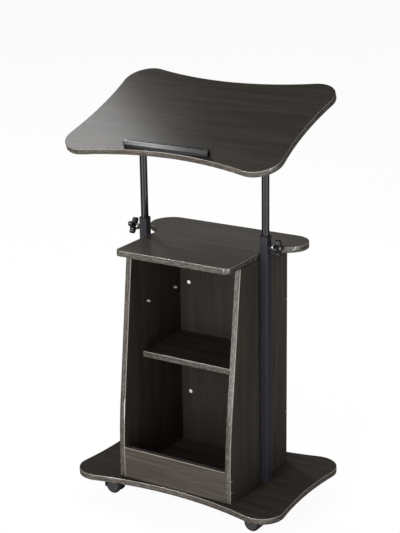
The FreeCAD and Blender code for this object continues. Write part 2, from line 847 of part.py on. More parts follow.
def height_knob(label, turn):
    """A knob on the right post, with its lobes at a turn of their own."""
    knob = new_body(label)
    set_place(knob, POST_OUT + " + post_size / 2 + stud_gap", POST_LINE, KNOB_AXIS)
    star(knob, "knob_radius", "lobe_radius", "lobe_hollow", "knob_depth", "knob_hub", turn)
    round_edges(knob, "knob_round", lambda edge: edge.Length < 60)
    hub = new_sketch(knob, "YZ_Plane")
    circle(hub, "0", "0", "hub_radius")
    pad(knob, hub, "knob_hub")
    bore = "stud_radius + loose_fit"
    drill(knob, [("0", "0")], bore, "knob_hub + knob_depth", plane="YZ_Plane", backward=True)
    return knob


def make_height_knobs():
    keep(height_knob("right_knob", "right_knob_turn"), "right_knob")
    keep(mirrored(height_knob("turned_knob", "left_knob_turn"), "left_knob"), "left_knob")
    stud = new_body("right_stud")
    set_place(stud, POST_OUT, POST_LINE, KNOB_AXIS)
    tip, seat = "tube_diameter / 2 + air_gap", "post_size / 2 + stud_gap"
    sketch = new_sketch(stud, "YZ_Plane", tip)
    circle(sketch, "0", "0", "stud_radius")
    pad(stud, sketch, "%s + knob_hub + knob_depth - 1 - (%s)" % (seat, tip))
    sketch = new_sketch(stud, "YZ_Plane", seat)
    circle(sketch, "0", "0", "stud_radius + 2.5")
    pad(stud, sketch, "3", backward=True)
    both_sides(stud, "stud")


# Sliding tubes and the tilting head
def make_tubes():
    tube = new_body("right_tube")
    set_place(tube, POST_OUT, POST_LINE, PIVOT)
    foot = "post_height + cap_height - tube_insert_length - pivot_height"
    neck = "-tongue_length - flattening"
    sketch = new_sketch(tube, lift=foot)
    circle(sketch, "0", "0", "tube_diameter / 2")
    pad(tube, sketch, "%s - (%s)" % (neck, foot))
    round_end = new_sketch(tube, lift=neck)
    circle(round_end, "0", "0", "tube_diameter / 2")
    flat_end = new_sketch(tube, lift="-tongue_length")
    flat_end.AttachmentOffset = Placement(Vector(0, 0, -size("tongue_length")), Rotation(Vector(0, 0, 1), 90))
    slot(flat_end, "tongue_width / 2 - tongue_thickness / 2", "0", "tongue_thickness / 2")
    loft = tube.newObject("PartDesign::AdditiveLoft", "right_tube_loft")
    loft.Profile = round_end
    loft.Sections = [flat_end]
    tongue = new_sketch(tube, "YZ_Plane", "-tongue_thickness / 2")
    half, low = "tongue_width / 2", "-tongue_length"
    left, right, end = point("-" + half, "0"), point(half, "0"), point("0", "0")
    corner_left, corner_right = point("-" + half, low), point(half, low)
    lines = chain(tongue, [
        (Part.LineSegment(corner_left, corner_right), True),
        (Part.LineSegment(corner_right, right), True),
        (arc_between(end, right, left), True),
        (Part.LineSegment(left, corner_left), True),
    ], kind=("Coincident", "Tangent", "Tangent", "Coincident"))
    fix_point(tongue, lines[0], 1, "-" + half, low)
    fix_point(tongue, lines[1], 1, half, low)
    rule(tongue, "Coincident", lines[2], 3, -1, 1)
    dim(tongue, half, "Radius", lines[2])
    pad(tube, tongue, "tongue_thickness")
    bore, depth = "tube_diameter / 2 - tube_wall", "%s - (%s) - 2" % (neck, foot)
    drill(tube, [("0", "0")], bore, depth, lift=foot, backward=True)
    through = {"plane": "YZ_Plane", "lift": "tongue_thickness"}
    drill(tube, [("0", "0")], "pivot_radius + loose_fit", "2 * tongue_thickness", **through)
    drill(tube, [("0", "-slot_radius")], "tilt_stud_radius + loose_fit", "2 * tongue_thickness", **through)
    both_sides(tube, "tube")

    plug = new_body("tube_plug")
    set_place(plug, POST_OUT, POST_LINE, BASE_TOP + " + post_height + cap_height - tube_insert_length")
    sketch = new_sketch(plug)
    rounded_square(sketch, "post_size / 2 - post_wall - air_gap", "post_corner - post_wall")
    pad(plug, sketch, "plug_length", backward=True)
    sketch = new_sketch(plug)
    circle(sketch, "0", "0", "tube_diameter / 2 - tube_wall - loose_fit")
    pad(plug, sketch, "plug_length")
    grouped("tube_plugs", [plug, mirrored(plug, "left_tube_plug")])


def make_tilt_fasteners():
    outer, inner = POST_OUT + " + tongue_thickness / 2", EAR_INNER + " - air_gap"
    inward = Rotation(Vector(0, 1, 0), -90)
    head = "head_height * 2"
    reach = head + " + tongue_thickness + 2 * air_gap + ear_thickness + nut_height + 2"
    bolt = hex_piece("pivot_bolt", "Part::Fuse", "nut_radius", head, "pivot_radius", reach)
    set_place(bolt, "%s + %s" % (outer, head), POST_LINE, PIVOT, inward)
    grouped("pivot_bolts", [bolt, mirrored(bolt, "left_pivot_bolt")])
    nut = hex_piece("pivot_nut", "Part::Cut", "nut_radius", "nut_height", "pivot_radius", "nut_height")
    set_place(nut, inner, POST_LINE, PIVOT, inward)
    grouped("pivot_nuts", [nut, mirrored(nut, "left_pivot_nut")])

    stud_height = PIVOT + " - slot_radius"
    reach = "tongue_thickness + 2 * air_gap + ear_thickness + tilt_knob_depth - 1"
    stud = pan_screw(reach, "tilt_stud_radius", "bolt_head", "bolt_radius")
    copies("tilt_studs", stud, [
        (point("%d * (%s)" % (side, outer), POST_LINE, stud_height), (side, 0, 0)) for side in (-1, 1)
    ])
    knob = new_body("right_tilt_knob")
    set_place(knob, inner, POST_LINE, stud_height, Rotation(Vector(0, 0, 1), 180))
    star(knob, "tilt_knob_radius", "tilt_lobe", "tilt_hollow", "tilt_knob_depth", "4", "tilt_knob_turn")
    round_edges(knob, "2", lambda edge: edge.Length < 40)
    hub = new_sketch(knob, "YZ_Plane")
    circle(hub, "0", "0", "bolt_head + 2")
    pad(knob, hub, "4")
    bore = "tilt_stud_radius + running_fit"
    drill(knob, [("0", "0")], bore, "tilt_knob_depth", plane="YZ_Plane", backward=True)
    both_sides(knob, "tilt_knob")


# Desktop
def make_desktop():
    body = new_body("desk_board")
    set_on_desk(body)
    sketch = new_sketch(body, lift="pivot_drop")
    board_outline(sketch, "desk", "band_thickness")
    pad(body, sketch, "board_thickness")
    brackets = [("%d * (%s)" % (side, BRACKET_SCREW_LINE), row) for side in (-1, 1) for row in BRACKET_SCREWS]
    drill(body, brackets, "shank_radius + loose_fit", "12", lift="pivot_drop", backward=True)
    ledge = [(x, LEDGE_SCREW_LINE) for x in LEDGE_SCREWS]
    drill(body, ledge, "shank_radius + loose_fit", "board_thickness + 1", lift="pivot_drop", backward=True)
    keep(body, "desk_board")
    set_on_desk(board_band("desk", "pivot_drop"))


def make_ledge():
    body = new_body("ledge")
    set_on_desk(body)
    low = "pivot_drop + board_thickness"
    top = low + " + ledge_height"
    sketch = new_sketch(body, "YZ_Plane")
    rectangle(sketch, LEDGE_FRONT, LEDGE_FRONT + " + ledge_depth", low, top)
    pad(body, sketch, "ledge_length", symmetric=True)
    groove = new_sketch(body, lift=top)
    slot(groove, "ledge_length / 2 - 9", LEDGE_FRONT + " + groove_inset", "groove_radius")
    pocket(body, groove, "groove_depth")
    ceiling, end = size(top), size("ledge_length / 2")

    def outside(edge):
        box = edge.BoundBox
        along_top = box.ZMin > ceiling - 0.01 and box.XLength > 2 * end - 1
        upright = box.ZLength > 10 and abs(box.XMax) > end - 0.01
        return along_top or upright

    round_edges(body, "ledge_round", outside)
    pilots = [(x, LEDGE_SCREW_LINE) for x in LEDGE_SCREWS]
    drill(body, pilots, "shank_radius + loose_fit", "11", lift=low, backward=True)
    keep(body, "ledge")


def make_brackets():
    """An angle plate under each side of the desktop: its ear has the pivot hole and the tilt slot."""
    body = new_body("right_bracket")
    set_on_desk(body)
    outer = "slot_radius + ear_edge"
    ear = new_sketch(body, "YZ_Plane", EAR_INNER)
    top = "pivot_drop"
    rear = ("(%s) * sin(slot_margin)" % outer, "-(%s) * cos(slot_margin)" % outer)
    front = ("-(%s) * sin(tilt_most + slot_margin)" % outer, "-(%s) * cos(tilt_most + slot_margin)" % outer)
    corners = (("-flange_front", top), front, rear, ("flange_rear", top))
    spots = [point(*corner) for corner in corners]
    lines = chain(ear, [
        (Part.LineSegment(spots[0], spots[1]), True),
        (arc_between(Vector(), spots[1], spots[2]), True),
        (Part.LineSegment(spots[2], spots[3]), True),
        (Part.LineSegment(spots[3], spots[0]), True),
    ], kind="Coincident")
    for line, corner in zip(lines, corners):
        fix_point(ear, line, 1, *corner)
    dim(ear, outer, "Radius", lines[1])
    circle(ear, "0", "0", "pivot_radius + running_fit")
    tilt_slot(ear)
    pad(body, ear, "ear_thickness")
    flange = new_sketch(body, lift="pivot_drop")
    rectangle(flange, EAR_INNER + " - flange_width", EAR_OUTER, "-flange_front", "flange_rear")
    pad(body, flange, "ear_thickness", backward=True)
    screws = [(BRACKET_SCREW_LINE, row) for row in BRACKET_SCREWS]
    drill(body, screws, "shank_radius + loose_fit", "ear_thickness + 1", lift="pivot_drop")
    both_sides(body, "bracket")

    down = Rotation(Vector(1, 0, 0), size("desk_tilt"))
    origin = point("0", POST_LINE, PIVOT)
    heading = tuple(down.multVec(Vector(0, 0, -1)))
    under = "pivot_drop - ear_thickness"
    copies("bracket_screws", pan_screw("14"), [
        (origin + down.multVec(point("%d * (%s)" % (side, BRACKET_SCREW_LINE), row, under)), heading)
        for side in (-1, 1)
        for row in BRACKET_SCREWS
    ])
    copies("ledge_screws", pan_screw("board_thickness + 10"), [
        (origin + down.multVec(point(x, LEDGE_SCREW_LINE, "pivot_drop")), heading) for x in LEDGE_SCREWS
    ])


def tilt_slot(sketch):
    """The curved slot about the pivot that the tilt stud runs in, from level to the steepest tilt."""
    half = "tilt_stud_radius + 2 * air_gap"
    inner, outer = "slot_radius - (%s)" % half, "slot_radius + " + half
    start, finish = Vector(0, -1, 0), Rotation(Vector(0, 0, 1), -size("tilt_most")).multVec(Vector(0, -1, 0))
    middle = size("slot_radius")
    edges = [
        (arc_between(Vector(), finish * size(outer), start * size(outer)), True),
        (arc_between(start * middle, start * size(outer), start * size(inner)), True),
        (arc_between(Vector(), finish * size(inner), start * size(inner)), False),
        (arc_between(finish * middle, finish * size(inner), finish * size(outer)), True),
    ]
    lines = chain(sketch, edges)
    rule(sketch, "Coincident", lines[0], 3, -1, 1)
    rule(sketch, "Coincident", lines[2], 3, -1, 1)
    dim(sketch, outer, "Radius", lines[0])
    dim(sketch, inner, "Radius", lines[2])
    fix_point(sketch, lines[1], 3, x="0")
    fix_point(sketch, lines[3], 3, x="-slot_radius * sin(tilt_most)")


# Casters
CASTER_TOP = "caster_height - plate_thickness"
HOOD_TOP = CASTER_TOP + " - 2 * air_gap"


def make_caster_plates():
    plate = new_body("caster_plate")
    set_place(plate, "caster_side", "-caster_fore", CASTER_TOP)
    sketch = new_sketch(plate)
    rounded_square(sketch, "plate_size / 2", "4")
    for x, y in CORNERS:
        circle(sketch, "%d * plate_screw" % x, "%d * plate_screw" % y, "shank_radius + loose_fit")
    pad(plate, sketch, "plate_thickness")
    sketch = new_sketch(plate)
    circle(sketch, "0", "0", "kingpin_radius")
    pad(plate, sketch, "kingpin_length", backward=True)
    left = mirrored(plate, "caster_plate_left")
    back = Vector(0, 1, 0)
    grouped("caster_plates", [
        plate,
        left,
        mirrored(plate, "caster_plate_rear", back),
        mirrored(left, "caster_plate_rear_left", back),
    ])
    copies("caster_screws", pan_screw("plate_thickness + 11"), [
        (point(x, y, CASTER_TOP), (0, 0, -1)) for x, y in plate_spots()
    ])


def four_corners(piece, name):
    """The front right piece and its three mirror twins, each a node of its own."""
    back = Vector(0, 1, 0)
    keep(piece, name + "_front_right")
    left = keep(mirrored(piece, name + "_front_left"), name + "_front_left")
    keep(mirrored(piece, name + "_rear_right", back), name + "_rear_right")
    keep(mirrored(left, name + "_rear_left", back), name + "_rear_left")


def make_casters():
    """Twin-wheel casters that trail towards the middle of the cart."""
    axle_x, axle_z = "-caster_trail", "wheel_diameter / 2"
    hood = new_body("caster_hood_front_right")
    set_place(hood, "caster_side", "-caster_fore", "0")
    guard = new_sketch(hood, "XZ_Plane")
    inner, outer = "wheel_diameter / 2 + guard_gap", "wheel_diameter / 2 + guard_gap + guard_thickness"
    centre = point(axle_x, axle_z)
    outside, inside = -16, 170
    rays = [Rotation(Vector(0, 0, 1), angle).multVec(Vector(1, 0, 0)) for angle in (outside, inside)]
    spots = [centre + ray * size(reach) for reach in (outer, inner) for ray in rays]
    lines = chain(guard, [
        (arc_between(centre, spots[0], spots[1]), True),
        (Part.LineSegment(spots[1], spots[3]), True),
        (arc_between(centre, spots[2], spots[3]), False),
        (Part.LineSegment(spots[2], spots[0]), True),
    ], kind="Coincident")
    for arc, radius in ((lines[0], outer), (lines[2], inner)):
        fix_point(guard, arc, 3, axle_x, axle_z)
        dim(guard, radius, "Radius", arc)
        for end, angle in ((1, outside), (2, inside)):
            fix_point(guard, arc, end, y="%s + (%s) * sin(%d)" % (axle_z, radius, angle))
    pad(hood, guard, "wheel_spread + 2 * wheel_width + 2", symmetric=True)
    web = new_sketch(hood, "XZ_Plane")
    polygon(web, (
        ("boss_radius", HOOD_TOP), ("boss_radius", "wheel_diameter - 2"),
        (axle_x + " + 8", "wheel_diameter * 0.3"), (axle_x + " - 9", "wheel_diameter * 0.3"),
        (axle_x + " - 10", "wheel_diameter * 0.7"), ("-boss_radius", HOOD_TOP),
    ))
    pad(hood, web, "wheel_spread - 1.6", symmetric=True)
    boss = new_sketch(hood, lift="wheel_diameter")
    circle(boss, "0", "0", "boss_radius")
    pad(hood, boss, "%s - wheel_diameter" % HOOD_TOP)
    drill(hood, [("0", "0")], "kingpin_radius + running_fit", "kingpin_length", lift=HOOD_TOP)
    bore = new_sketch(hood, "XZ_Plane")
    circle(bore, axle_x, axle_z, "axle_radius + running_fit")
    pocket(hood, bore, "2 * wheel_spread", symmetric=True)
    four_corners(hood, "caster_hood")

    wheel = new_body("caster_wheel")
    set_place(wheel, "caster_side - caster_trail", "-caster_fore", axle_z)
    section = new_sketch(wheel)
    rim, near, far = "wheel_diameter / 2", "wheel_spread / 2", "wheel_spread / 2 + wheel_width"
    bore = "axle_radius + running_fit"
    seam = rim + " - 4.5"
    corners = (
        (bore, far + " - 1.5"), (bore, near), (rim + " - 1", near), (rim, near + " + 1.5"),
        (rim, far + " - 2"), (rim + " - 1.5", far), (rim + " - 3.5", far), (rim + " - 4", far + " - 0.6"),
        (seam, far), ("0", far + " + wheel_dome"), ("0", far + " - 1.5"),
    )
    spots = [point(x, y) for x, y in corners]
    dome = size("((%s)^2 + wheel_dome^2) / (2 * wheel_dome)" % seam)
    edges = [(Part.LineSegment(spots[i - 1], spots[i]), True) for i in range(len(spots))]
    edges[-2] = (arc_between(spots[-2] - Vector(0, dome, 0), spots[-3], spots[-2]), True)
    lines = chain(section, edges, kind="Coincident")
    for line, (x, y) in zip(lines, corners):
        fix_point(section, line, 2, x, y)
    rule(section, "PointOnObject", lines[-2], 3, -2)
    spin = wheel.newObject("PartDesign::Revolution", "caster_wheel_turn")
    spin.Profile = section
    spin.ReferenceAxis = (section, ["V_Axis"])
    spin.Angle = 360
    axle = rod("caster_axle_front_right", "axle_radius", "wheel_spread + 2 * wheel_width - 4")
    set_place(
        axle, "caster_side - caster_trail", "-caster_fore + wheel_spread / 2 + wheel_width - 2", axle_z,
        Rotation(Vector(1, 0, 0), 90),
    )
    four_corners(axle, "caster_axle")
    other = doc.addObject("Part::Mirroring", "caster_wheel_twin")
    other.Source = wheel
    other.Normal = Vector(0, 1, 0)
    other.setExpression("Base.y", bound("-caster_fore"))
    pair = doc.addObject("Part::Compound", "caster_wheels_front_right")
    pair.Links = [wheel, other]
    four_corners(pair, "caster_wheels")


make_base()
make_panels()
make_cross_boards()
make_top()
make_cabinet_fasteners()
make_posts()
make_height_knobs()
make_tubes()
make_tilt_fasteners()
make_desktop()
make_ledge()
make_brackets()
make_caster_plates()
make_casters()
doc.recompute()

# Export
for thing in doc.Objects:
    if "Invalid" in thing.State or "Error" in thing.State:
        raise RuntimeError("%s is %s" % (thing.Label, thing.State))
for node in nodes:
    if node.Shape.isNull() or not node.Shape.isValid():
        raise RuntimeError("%s has no valid shape" % node.Label)
os.makedirs("parts", exist_ok=True)
for node in nodes:
    node.Shape.exportStep("parts/%s.step" % node.Label)
print("%d nodes" % len(nodes))
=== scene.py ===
import json
import math

import bmesh
import bpy
from bpy.props import FloatProperty, FloatVectorProperty, PointerProperty
from bpy.types import Operator, Panel, PropertyGroup
from mathutils import Matrix, Vector


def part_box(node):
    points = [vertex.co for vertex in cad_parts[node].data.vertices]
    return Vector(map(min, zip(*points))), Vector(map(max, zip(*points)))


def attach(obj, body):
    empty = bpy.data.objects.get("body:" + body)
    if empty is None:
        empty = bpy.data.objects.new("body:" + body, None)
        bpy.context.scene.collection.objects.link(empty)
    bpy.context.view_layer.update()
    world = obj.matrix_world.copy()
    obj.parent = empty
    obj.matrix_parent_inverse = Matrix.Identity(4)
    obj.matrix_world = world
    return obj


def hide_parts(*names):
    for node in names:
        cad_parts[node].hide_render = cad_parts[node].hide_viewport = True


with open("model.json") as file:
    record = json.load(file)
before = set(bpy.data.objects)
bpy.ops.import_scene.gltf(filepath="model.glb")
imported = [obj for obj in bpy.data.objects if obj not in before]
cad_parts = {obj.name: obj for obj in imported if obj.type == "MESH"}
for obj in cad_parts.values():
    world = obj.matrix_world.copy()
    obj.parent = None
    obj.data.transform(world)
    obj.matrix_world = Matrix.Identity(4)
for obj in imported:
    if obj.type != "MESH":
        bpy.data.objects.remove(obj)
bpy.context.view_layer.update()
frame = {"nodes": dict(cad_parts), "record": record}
NODES = frame["nodes"]

bl_info = {
    "name": "Rolling laptop cart",
    "version": (1, 0, 0),
    "blender": (4, 5, 0),
    "location": "3D View > Sidebar > Laptop cart",
    "description": "Finishes, small fittings and a plain stage for the rolling laptop cart",
    "category": "Object",
}

CORNERS = ("front_left", "front_right", "rear_left", "rear_right")
SIDES = ("left", "right")

# Fineness of the meshes
SAME_SPOT = 1e-6
ROUND_SIDES = 28
SCREW_THREAD_SIDES = 14
THREAD_ROWS_PER_TURN = 4
ARC_STEPS = 6
DOME_STEPS = 5
BEVEL_STEPS = 2
BEVEL_ANGLE = math.radians(40)
SHARP_ANGLE = math.radians(35)

# A screw head's proportions: shares of its radius, and for the shoulder of its height
CROWN_SHARE = 0.45
CROWN_FLAT_SHARE = 0.4
RECESS_SHARE = 0.62
SHANK_SHARE = 0.5
SHOULDER_SHARE = 0.45

# A cross recess: its width as a share of its reach, and its floor as shares of its mouth
RECESS_WIDTH_SHARE = 0.34
FLOOR_LENGTH_SHARE = 0.55
FLOOR_WIDTH_SHARE = 0.8

# Neck and thread depth, as shares of the radius of a shank or stud
NECK_SHARE = 0.8
SCREW_THREAD_SHARE = 0.28
STUD_THREAD_SHARE = 0.16

# Radius of a wheel's smooth face, as a share of the wheel's height
WHEEL_FACE_SHARE = 0.39

# Fixed values of the stage
SENSOR_WIDTH = 36
FARTHEST_SEEN = 200
FLOOR_REACH = 30
FLOOR_GLOW = 0.95
WHITE = (1, 1, 1, 1)


# Where the desktop leans, read from its mount in the record
def desk_turn():
    """The turn about X from level to the tilted desktop."""
    for mount in frame["record"]["mounts"]:
        if mount["name"] == "desktop":
            lean = mount["axis"]
            return Matrix.Rotation(math.atan2(-lean[1], lean[2]), 3, "X")
    raise RuntimeError("the record has no desktop mount")


LEVEL = Matrix.Identity(3)
TILTED = desk_turn()
UPRIGHT = Matrix.Rotation(math.radians(90), 3, "Y")
FACE_UP = Matrix.Rotation(math.radians(90), 3, "X")


# Settings that a user would change
def seen(red, green, blue):
    """The scene-linear colour of what a screen shows as these levels from 0 to 255."""
    shares = [level / 255 for level in (red, green, blue)]
    return tuple(s / 12.92 if s <= 0.04045 else ((s + 0.055) / 1.055) ** 2.4 for s in shares)


def colour(name, description, *levels):
    """A colour setting, given as levels on a screen."""
    return FloatVectorProperty(
        name=name, description=description, subtype="COLOR", size=3, min=0, max=1, default=seen(*levels)
    )


def length(name, description, metres):
    """A length setting."""
    return FloatProperty(
        name=name, description=description, unit="LENGTH", min=0, precision=5, default=metres
    )


def share(name, description, value):
    """A setting from nought to one."""
    return FloatProperty(name=name, description=description, subtype="FACTOR", min=0, max=1, default=value)


def angle(name, description, degrees):
    """An angle setting."""
    return FloatProperty(name=name, description=description, unit="ROTATION", default=math.radians(degrees))


def power(name, description, watts):
    """A lamp's power setting."""
    return FloatProperty(name=name, description=description, unit="POWER", min=0, default=watts)


class CartBoards(PropertyGroup):
    """Wood-grain boards and their edge bands."""
    face: colour("Face", "Middle tone of the printed wood grain", 58, 54, 49)
    figure: colour("Figure", "Dark tone of the grain's broad figure", 48, 44, 40)
    streak: colour("Streak", "Pale tone of the grain's fine streaks", 69, 64, 59)
    # Darker copy of the same print for base, middle shelf and back panel: painted shade, as these boards
    # lie under the desktop and inside the cabinet
    shaded_face: colour("Base face", "Middle tone of the darker print on base, shelf and back", 47, 43, 39)
    shaded_figure: colour("Base figure", "Dark tone of the darker print's figure", 40, 36, 33)
    shaded_streak: colour("Base streak", "Pale tone of the darker print's streaks", 56, 52, 47)
    # Paler copy of the same print for the kick panel: painted light, where the front lamps fall on its
    # front-facing face
    lit_kick_face: colour("Kick face", "Middle tone of the kick panel's paler print", 66, 61, 55)
    lit_kick_figure: colour("Kick figure", "Dark tone of the kick panel's figure", 52, 47, 42)
    lit_kick_streak: colour("Kick streak", "Pale tone of the kick panel's streaks", 90, 84, 77)
    band: colour("Band", "Middle tone of the edge band", 69, 64, 59)
    band_dark: colour("Dark band streak", "Dark streaks along the edge band", 42, 38, 34)
    band_pale: colour("Pale band streak", "Pale streaks along the edge band", 110, 104, 96)
    # Rim colour: the band's pale trimmed core, and also a painted highlight, since it is laid only on the
    # upper edge
    rim: colour("Rim", "Bare core of the edge band at its trimmed rim", 150, 145, 137)
    # Kick rim: a painted highlight along the front top edge of the kick panel's band
    kick_rim_highlight: colour("Kick rim", "Brighter rim of the kick panel's band", 225, 218, 208)
    rim_width: length("Rim width", "Width of an edge band's trimmed rim", 0.0014)
    figure_length: length("Figure length", "Length of the grain's broad figure", 0.42)
    figure_width: length("Figure width", "Width of the grain's broad figure", 0.016)
    fibre_length: length("Fibre length", "Length of the grain's fine fibres", 0.11)
    fibre_width: length("Fibre width", "Width of the grain's fine fibres", 0.0016)
    pore_length: length("Pore length", "Length of the dark pores", 0.03)
    pore_width: length("Pore width", "Width of the dark pores", 0.0007)
    cloud_length: length("Cloud length", "Length of the grain's paler and darker clouds", 0.3)
    cloud_width: length("Cloud width", "Width of the grain's paler and darker clouds", 0.12)
    streak_length: length("Streak length", "Length of an edge band's long streaks", 0.12)
    streak_width: length("Streak width", "Width of an edge band's long streaks", 0.0035)
    dash_length: length("Dash length", "Length of an edge band's short dashes", 0.011)
    dash_width: length("Dash width", "Width of an edge band's short dashes", 0.002)
    line_length: length("Line length", "Length of an edge band's fine lines", 0.022)
    line_width: length("Line width", "Width of an edge band's fine lines", 0.0006)
    round_over: length("Round-over", "Rounding of the bands' long edges", 0.0006)
    gloss: share("Gloss", "Weight of the clear coat on the boards", 0.1)
    top_gloss: share("Cabinet top gloss", "Weight of the clear coat on the cabinet top", 1.0)
    desk_gloss: share("Desktop gloss", "Weight of the clear coat on the desktop", 0.25)
    band_gloss: share("Band gloss", "Weight of the clear coat on the edge bands", 1.0)


class CartMetals(PropertyGroup):
    """Painted and plated steel, and cast zinc."""
    post: colour("Posts", "Powder coat of the square posts", 45, 45, 50)
    tube: colour("Tubes", "Paint of the sliding tubes", 21, 21, 24)
    bracket: colour("Brackets", "Powder coat of the tilt brackets", 36, 36, 38)
    zinc: colour("Zinc", "Zinc plating", 222, 222, 218)
    cast: colour("Cast zinc", "Pale zinc of the barrel nuts and the panels' screws", 226, 226, 222)
    pin: colour("Shelf pins", "Duller zinc of the shelf pins", 150, 150, 147)
    bolt: colour("Black bolts", "Black oxide of the post bolts", 34, 33, 33)
    peel: length("Peel", "Size of the paint's fine orange peel", 0.0009)
    spangle: length("Spangle", "Size of the zinc plating's fine crystals", 0.0012)
    patch: length("Patches", "Size of the zinc plating's dull patches", 0.006)
    pit: length("Pits", "Size of the cast zinc's pits", 0.0006)
    mark: length("Marks", "Size of the cast zinc's handling marks", 0.004)


class CartPlastics(PropertyGroup):
    """Moulded pieces and dowels."""
    plug: colour("Caps and plugs", "Caps and plugs of the posts and tubes", 24, 24, 26)
    ledge: colour("Ledge", "The stop ledge on the desktop", 20, 20, 21)
    knob: colour("Knobs", "The star knobs", 24, 24, 25)
    hood: colour("Hoods", "The casters' hoods", 30, 30, 31)
    wheel: colour("Wheel faces", "The smooth faces of the casters' wheels", 56, 56, 58)
    tread: colour("Treads", "The treads of the casters' wheels", 20, 20, 21)
    dowel: colour("Dowels", "Beech of the dowels", 190, 150, 104)
    texture: length("Texture", "Size of the moulded surface's fine texture", 0.0006)
    bloom: length("Bloom", "Size of the moulded surface's dusty patches", 0.012)


class CartFittings(PropertyGroup):
    """Fine sizes of screws and studs."""
    head_height: length("Head height", "Height of a pan head", 0.0026)
    bolt_head_height: length("Bolt head height", "Height of a bolt's pan head", 0.003)
    recess_depth: length("Recess depth", "Depth of the cross recess in a head", 0.0016)
    screw_pitch: length("Screw pitch", "Pitch of a wood screw's thread", 0.0018)
    stud_pitch: length("Stud pitch", "Pitch of the clamp studs' thread", 0.00125)
    stud_radius: length("Stud radius", "Outer radius of the clamp studs", 0.004)
    collar_back: length("Collar setback", "From a clamp stud's outer end to the back of its collar", 0.019)
    collar_thickness: length("Collar thickness", "Thickness of a clamp stud's collar", 0.003)
    collar_chamfer: length("Collar chamfer", "Chamfer of the collar's edges", 0.0004)
    head_overlap: length("Head overlap", "How far a screw's head reaches down into its shank", 0.0004)
    thread_start: length("Thread start", "How far below the head a screw's thread starts", 0.0002)


class CartLedge(PropertyGroup):
    """Fine sizes of the stop ledge."""
    slant_height: length("Slant height", "Height of the slanted upper part of the ledge's front", 0.0065)
    slant_depth: length("Slant depth", "How far that slant leans back", 0.0054)
    back_round: length("Back rounding", "Rounding of the ledge's upper back", 0.0015)
    end_round: length("End rounding", "Rounding of the ledge's two ends", 0.003)
    groove_radius: length("Groove radius", "Half the width of the groove along the top", 0.002)
    groove_depth: length("Groove depth", "Depth of the groove along the top", 0.004)
    groove_back: length("Groove setback", "From the ledge's front to the middle of the groove", 0.0095)
    groove_end: length("Groove end", "From an end of the ledge to the end of the groove", 0.0065)
    rim_round: length("Rim rounding", "Rounding of the groove's rims", 0.0008)
    hole_radius: length("Hole radius", "Radius of the holes for the ledge's screws", 0.0021)
    hole_spare: length("Hole spare", "How far a hole goes on past its screw", 0.001)


class CartStage(PropertyGroup):
    """Camera, lamps and floor."""
    camera: FloatVectorProperty(
        name="Camera", description="Where the camera stands", subtype="XYZ", unit="LENGTH", size=3,
        default=(1.8164, -2.9256, 1.7206),
    )
    heading: angle("Heading", "How far the camera stands round to the right of the front", 32.037)
    height: angle("Height angle", "How far the camera looks down", 17.705)
    roll: angle("Roll", "How far the camera leans to one side", -0.901)
    lens: FloatProperty(
        name="Lens", description="Focal length on a 36 mm wide sensor", unit="CAMERA", default=129.68
    )
    floor: colour("Floor", "The pale floor and backdrop", 250, 250, 250)
    sky: FloatProperty(name="Sky", description="Even light from all round", default=0.2, min=0)
    key: power("Key lamp", "Power of the broad lamp at the front", 35)
    side: power("Side lamp", "Power of the broad lamp at the side", 10)
    front_strip: power("Front strip lamp", "Power of the slim lamp at the front", 11)
    high_strip: power("High strip lamp", "Power of the small lamp at the upper left", 42)
    right_strip: power("Right strip lamp", "Power of the slim lamp at the right", 7)
    back: power("Back lamp", "Power of the broad lamp behind", 26)
    sheen: power("Sheen lamp", "Power of the lamp whose reflection lies on the desktop", 150)


SETTINGS = {
    "cart_boards": CartBoards,
    "cart_metals": CartMetals,
    "cart_plastics": CartPlastics,
    "cart_fittings": CartFittings,
    "cart_ledge": CartLedge,
    "cart_stage": CartStage,
}


# Shader nodes
class Wire:
    """One socket in a node tree: arithmetic on it adds Math nodes, and node() adds any other."""

    def __init__(self, tree, socket=None):
        self.tree = tree
        self.socket = socket

    def node(self, kind, settings=None, values=None, output=0):
        """Adds a node with its settings and inputs, and gives the wire of one output."""
        made = self.tree.nodes.new(kind)
        for name, value in (settings or {}).items():
            if name == "stops":
                ramp = made.color_ramp
                while len(ramp.elements) < len(value):
                    ramp.elements.new(0.5)
                for element, (place, tone) in zip(ramp.elements, value):
                    element.position = place
                    element.color = (*tone, 1)
            else:
                setattr(made, name, value)
        for name, value in (values or {}).items():
            if isinstance(value, Wire):
                self.tree.links.new(value.socket, made.inputs[name])
            else:
                made.inputs[name].default_value = value
        return Wire(self.tree, made.outputs[output] if made.outputs else None)

    def maths(self, operation, first, second=0.0):
        """Adds a Math node."""
        return self.node("ShaderNodeMath", {"operation": operation}, {0: first, 1: second})

    def __add__(self, other):
        return self.maths("ADD", self, other)

    def __radd__(self, other):
        return self.maths("ADD", other, self)

    def __sub__(self, other):
        return self.maths("SUBTRACT", self, other)

    def __rsub__(self, other):
        return self.maths("SUBTRACT", other, self)

    def __mul__(self, other):
        return self.maths("MULTIPLY", self, other)

    def __gt__(self, other):
        return self.maths("GREATER_THAN", self, other)


def new_finish(name):
    """An empty material, and the wire from which its nodes are added."""
    material = bpy.data.materials.new(name)
    material.use_nodes = True
    material.node_tree.nodes.clear()
    return material, Wire(material.node_tree)


def close(wire, shader):
    """Ends a material with its shader."""
    wire.node("ShaderNodeOutputMaterial", {}, {"Surface": shader})


def blend(wire, first, second, factor):
    """A colour between two colours."""
    return wire.node("ShaderNodeMix", {"data_type": "RGBA"}, {0: factor, 6: first, 7: second}, output=2)


def place(wire, turn=LEVEL):
    """Object coordinates in metres, in a turned frame."""
    spot = wire.node("ShaderNodeTexCoord", output="Object")
    back = turn.transposed().to_euler()
    return wire.node("ShaderNodeMapping", {"vector_type": "POINT"}, {"Vector": spot, "Rotation": back})


